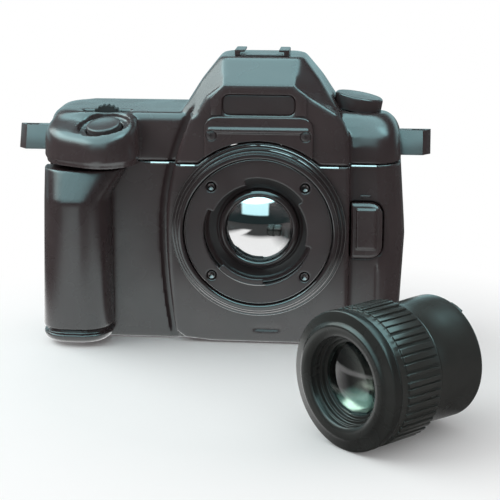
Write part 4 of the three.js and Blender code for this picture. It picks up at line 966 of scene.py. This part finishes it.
mountScrew = dict(length=6.5, head=1.6, rise=1.1, hollow=0.75)
panelScrew = dict(length=6.5, head=1.9, rise=1.1, cross=0.3, deep=0.3, reach=1.3)
backScrew = dict(length=20, head=2.6, rise=1.5, cross=0.6, deep=0.8, reach=3.4)
screwSteps = 32
mountPlaces = {
    "mount_screw_1": (-17.3, -24.9, 60.8), "mount_screw_2": (17.3, -24.9, 60.8),
    "mount_screw_3": (-17.3, -24.9, 27.2), "mount_screw_4": (17.3, -24.9, 27.2),
}
panelPlaces = {"panel_screw_1": (-17.3, -24.1, 79.73), "panel_screw_2": (17.3, -24.1, 79.73)}
backPlaces = {
    "body_screw_1": (-69.8, 17.6, 10), "body_screw_2": (-69.8, 17.6, 63.7),
    "body_screw_3": (45, 17.6, 10), "body_screw_4": (28.5, 17.6, 63.7),
}


# one screw whose head faces up, at the origin
def screwModel(screw):
    head, rise, length = screw["head"], screw["rise"], screw["length"]
    shank = 0.62 * head
    profile = [(0, -length), (shank, -length), (shank, -rise)]
    profile += [(head, -rise), (head, -0.5 * rise), (0.95 * head, -0.22 * rise)]
    if "hollow" in screw:
        bottom = -screw["hollow"]
        profile += [(0.85 * head, -0.05 * rise), (0.76 * head, -0.05 * rise)]
        profile += [(0.2 * head, bottom), (0, bottom)]
    else:
        profile += [(0.8 * head, -0.06 * rise), (0, 0)]
    piece = turnedPiece("screw_model", profile, spot(0, 0, 0), (0, 0, 1), screwSteps, closed=False)
    if "cross" not in screw:
        return piece
    arm = 0.5 * screw["reach"]
    thin = 0.5 * screw["cross"]
    for low, high in (((-arm, -thin), (arm, thin)), ((-thin, -arm), (thin, arm))):
        slot = plainBox("slot", (*low, -screw["deep"]), (*high, 1))
        applyModifier(piece, "BOOLEAN", operation="DIFFERENCE", object=slot, solver="EXACT")
        bpy.data.objects.remove(slot)
    return piece


def placeScrews(model, places, turn, finish):
    for node, where in places.items():
        copy = bpy.data.objects.new(node + "_head", model.data.copy())
        scene.collection.objects.link(copy)
        copy.matrix_world = Matrix.Translation(spot(*where)) @ turn
        shade(copy, angle=30)
        settle(copy, "camera_body", "steel", finishes[finish], node)
    bpy.data.objects.remove(model)


toFront = Matrix.Rotation(math.radians(90), 4, "X")
toBack = Matrix.Rotation(math.radians(-90), 4, "X")
placeScrews(screwModel(mountScrew), mountPlaces, toFront, "dark screw")
placeScrews(screwModel(panelScrew), panelPlaces, toFront, "mount black")
placeScrews(screwModel(backScrew), backPlaces, toBack, "zinc steel")
print("stage: screws placed")

# controls

releaseBox = dict(low=(36.2, -22.0, 37.6), high=(43.4, -20.6, 52.6), voxel=0.26, rounds=3, edge=0.5)
release = copyOfNode("release_button", "release_key")
raised = plainBox("raised", releaseBox["low"], releaseBox["high"])
easeEdges(raised, releaseBox["edge"])
joinInto(release, raised)
mouldSkin(release, releaseBox["voxel"], releaseBox["rounds"])
settle(release, "release", "body_plastic", finishes["body black"], "release_button")

releaseMark = dict(low=(37.3, -18.5, 56.4), high=(41.2, -17.6, 57.2), edge=0.25)
mark = plainBox("release_mark", releaseMark["low"], releaseMark["high"])
easeEdges(mark, releaseMark["edge"])
shade(mark)
settle(mark, "camera_body", "body_plastic", finishes["body black"])

shutterKey = dict(
    profile=[
        (0, -8.4), (2, -8.4), (2, -6.8), (7.4, -6.8), (7.4, -5.5), (6.4, -5.5), (6.4, -1.0), (6.3, -0.62),
        (6.0, -0.36), (5.5, -0.26), (4.9, -0.34), (3.6, -0.6), (1.8, -0.74), (0, -0.78),
    ],
    steps=96,
)
key = turnedPiece(
    "shutter_key", shutterKey["profile"], spot(*shutter["centre"]), shutterAxis, shutterKey["steps"],
    closed=False,
)
shade(key, angle=35)
settle(key, "shutter", "body_plastic", finishes["mount black"], "shutter_button")

knob = dict(
    foot=(35.2, 2, 86.1), axis=(0.17365, 0, 0.98481), steps=96,
    profile=[
        (0, -9), (3, -9), (3, 0), (8.5, 0), (8.9, 0.15), (9, 0.5), (9, 4.5), (8.88, 5.0), (8.5, 5.35),
        (8.0, 5.45), (7.2, 5.4), (6.6, 5.42), (3, 5.55), (0, 5.6),
    ],
)
dial = turnedPiece(
    "side_dial", knob["profile"], spot(*knob["foot"]), knob["axis"], knob["steps"], closed=False
)
shade(dial, angle=30)
settle(dial, "knob", "body_plastic", finishes["body black"], "side_knob")

thumbDial = dict(edge=0.14)
wheel = copyOfNode("thumb_wheel", "thumb_dial")
easeEdges(wheel, thumbDial["edge"], segments=2, angle=25)
shade(wheel, angle=30)
settle(wheel, "wheel", "dark_plastic", finishes["inner black"], "thumb_wheel")

# return springs, each a coil over the length of its CAD spring
springs = {
    "shutter_coil": dict(
        node="shutter_spring", joint="shutter_press", centre=shutter["centre"], axis=shutterAxis,
        radius=3.0, held="low", travel=2.0,
    ),
    "release_coil": dict(
        node="release_spring", joint="release_press", centre=(39.9, 0, 44.2), axis=Vector((0, 1, 0)),
        radius=2.6, held="high", travel=1.8,
    ),
}
springWire = dict(thick=0.3, sides=10, curls=4, steps=24)


def coilPiece(name, spring):
    axis, centre = spring["axis"], spot(*spring["centre"])
    heights = [(vertex.co - centre).dot(axis) for vertex in nodes[spring["node"]].data.vertices]
    low, high = min(heights), max(heights)
    thick, sides = springWire["thick"], springWire["sides"]
    clearSelection()
    bpy.ops.mesh.primitive_circle_add(
        vertices=sides, radius=mm(thick), location=spot(spring["radius"], 0, thick),
        rotation=(math.pi / 2, 0, 0),
    )
    piece = bpy.context.object
    piece.name = name
    bakePlace()
    turns = springWire["curls"] * springWire["steps"]
    applyModifier(
        piece, "SCREW", axis="Z", angle=springWire["curls"] * 2 * math.pi, steps=turns, render_steps=turns,
        screw_offset=high - low - 2 * mm(thick),
    )
    setMode("EDIT")
    selectMesh()
    bpy.ops.mesh.fill_holes(sides=sides)
    bpy.ops.mesh.normals_make_consistent(inside=False)
    setMode("OBJECT")
    shade(piece, angle=50)
    turn = axis.to_track_quat("Z", "Y").to_matrix().to_4x4()
    piece.matrix_world = Matrix.Translation(centre + axis * low) @ turn
    settle(piece, "camera_body", "steel", finishes["zinc steel"], spring["node"])
    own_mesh(piece)


for springName, spring in springs.items():
    coilPiece(springName, spring)

print("stage: controls made")

# eyepiece window
window = dict(low=(-7.7, 16.6, 89.0), high=(7.7, 18.2, 94.8), edge=0.3)
pane = plainBox("eye_window", window["low"], window["high"])
easeEdges(pane, window["edge"], segments=2)
shade(pane)
settle(pane, "camera_body", "clear_plastic", finishes["window clear"], "eyepiece_window")

# detached lens, with heights counted from its rear rim

lens = dict(foot=(64.280, -97.717, 22.4), axis=(-0.70463, -0.70957, 0))
lensFoot = spot(*lens["foot"])
lensAxis = Vector(lens["axis"]).normalized()


def lensPiece(name, profile, finish, slot, *stoodFor, edge=0.0, closed=True, steps=160):
    piece = turnedPiece(name, profile, lensFoot, lensAxis, steps, closed)
    if edge:
        easeEdges(piece, edge, segments=2, angle=20)
    shade(piece, angle=30)
    settle(piece, "lens", slot, finishes[finish], *stoodFor)


barrel = dict(
    profile=[
        (15.6, 0), (19.2, 0), (19.8, 0.3), (20.1, 0.9), (20.05, 4), (19.85, 10), (19.7, 14), (19.9, 17.4),
        (20.1, 18.6), (19.9, 19.5), (19.3, 20), (18.2, 20.0), (18.2, 38.1), (15.6, 38.1),
    ],
    edge=0.1,
)
lensPiece("lens_tube", barrel["profile"], "lens black", "lens_plastic", "lens_barrel", edge=barrel["edge"])

# bezel: a flat outer band, a step up to the crest, and a round lip into the mouth
bezel = dict(
    profile=[
        (15.6, 38.1), (21.7, 38.1), (22.15, 38.3), (22.4, 38.8), (22.4, 40.9), (22.32, 41.25), (22.1, 41.5),
        (21.7, 41.66), (19.4, 42.12), (19.0, 42.28), (18.5, 42.7), (18.1, 43.05), (17.7, 43.2), (16.6, 43.18),
        (15.6, 43.0), (14.9, 42.7), (14.45, 42.35), (14.3, 42.05), (14.5, 41.95), (15.6, 42.0),
    ],
    edge=0.12,
)
lensPiece("lens_rim", bezel["profile"], "rim black", "lens_plastic", "lens_bezel", edge=bezel["edge"])

cone = dict(
    profile=[
        (10.7, 34.5), (15.3, 34.5), (15.3, 41.7), (14.9, 40.9), (14.75, 40.45), (14.55, 40.3), (14.2, 40.32),
        (14.06, 40.2), (14.0, 39.1), (13.85, 38.95), (13.1, 38.98), (12.93, 38.86), (12.8, 37.75),
        (12.65, 37.6), (11.95, 37.64), (11.74, 37.5), (11.7, 37.3), (11.7, 36.1), (10.7, 36.1),
    ],
)
lensPiece("lens_steps", cone["profile"], "rim black", "lens_plastic", "lens_cone")

# glasses at both ends, each with a flat back and a domed face
frontGlass = dict(node="front_element", back=36.2, radius=11.6, face=37.6, rise=2.2, count=20)
frontDish = dict(radius=10.5, front=35.9, sag=2.6, thick=0.5, count=12)
rearGlass = dict(node="rear_element", back=0.6, radius=13.5, face=2.0, rise=1.6, count=10)
glassSteps = 96


def glassPiece(name, glass):
    profile = [(0, glass["back"]), (glass["radius"], glass["back"])]
    profile += capPoints(glass["radius"], glass["face"], glass["rise"], glass["count"])
    lensPiece(
        name, profile, "element clear", "clear_plastic", glass["node"], closed=False, steps=glassSteps
    )


glassPiece("front_glass", frontGlass)
# green foil dish behind the front glass, with painted shade over its upper side
lensPiece("front_backing", dishProfile(frontDish), "green foil", "steel", closed=False, steps=glassSteps)
glassPiece("rear_glass", rearGlass)

rearSpigot = dict(edge=0.18)
spigot = copyOfNode("rear_spigot", "rear_plug")
easeEdges(spigot, rearSpigot["edge"], segments=2, angle=25)
shade(spigot, angle=30)
settle(spigot, "lens", "lens_plastic", finishes["lens black"], "rear_spigot")

# focus ring: a tube whose ribs are drawn up between two plain lips
focus = dict(
    radius=21.6, start=20.4, end=37.7, ribs=54, parts=5, raised=3, rearLip=1.0, frontLip=2.4,
    rise=0.7, wall=2.9, edge=0.18,
)


def focusRing():
    clearSelection()
    depth = focus["end"] - focus["start"]
    centre = lensFoot + lensAxis * mm(focus["start"] + depth / 2)
    turn = lensAxis.to_track_quat("Z", "Y")
    bpy.ops.mesh.primitive_cylinder_add(
        vertices=focus["ribs"] * focus["parts"], radius=mm(focus["radius"]), depth=mm(depth),
        end_fill_type="NOTHING", location=centre, rotation=turn.to_euler(),
    )
    piece = bpy.context.object
    piece.name = "focus_grip"
    bakePlace()
    setMode("EDIT")
    for height in (focus["start"] + focus["rearLip"], focus["end"] - focus["frontLip"]):
        selectMesh()
        bpy.ops.mesh.bisect(plane_co=lensFoot + lensAxis * mm(height), plane_no=lensAxis)
    bpy.ops.mesh.select_all(action="DESELECT")
    bpy.ops.mesh.select_mode(type="FACE")
    setMode("OBJECT")
    across = turn @ Vector((1, 0, 0))
    over = turn @ Vector((0, 1, 0))
    total = focus["ribs"] * focus["parts"]
    for face in piece.data.polygons:
        away = face.center - centre
        share = math.atan2(away.dot(over), away.dot(across)) / (2 * math.pi)
        column = math.floor(share * total) % focus["parts"]
        along = away.dot(lensAxis) / mm(1) + depth / 2
        inBand = focus["rearLip"] < along < depth - focus["frontLip"]
        face.select = inBand and column < focus["raised"]
    setMode("EDIT")
    bpy.ops.mesh.extrude_region_shrink_fatten(TRANSFORM_OT_shrink_fatten={"value": mm(focus["rise"])})
    selectMesh()
    bpy.ops.mesh.normals_make_consistent(inside=False)
    setMode("OBJECT")
    applyModifier(piece, "SOLIDIFY", thickness=mm(focus["wall"]), offset=-1)
    easeEdges(piece, focus["edge"], angle=35)
    shade(piece)
    return piece


settle(focusRing(), "ring", "lens_plastic", finishes["lens black"], "focus_ring")
print("stage: lens made")

# CAD nodes that stay as they are
keptNodes = {
    "lens_seat": "inner black", "shutter_bracket": "inner black", "wheel_bracket": "inner black",
    "finder_tube": "inner black", "wheel_axle": "zinc steel", "knob_clip": "zinc steel",
}
for node, finish in keptNodes.items():
    nodes[node].data.materials.clear()
    nodes[node].data.materials.append(finishes[finish])

print("stage: all pieces settled")
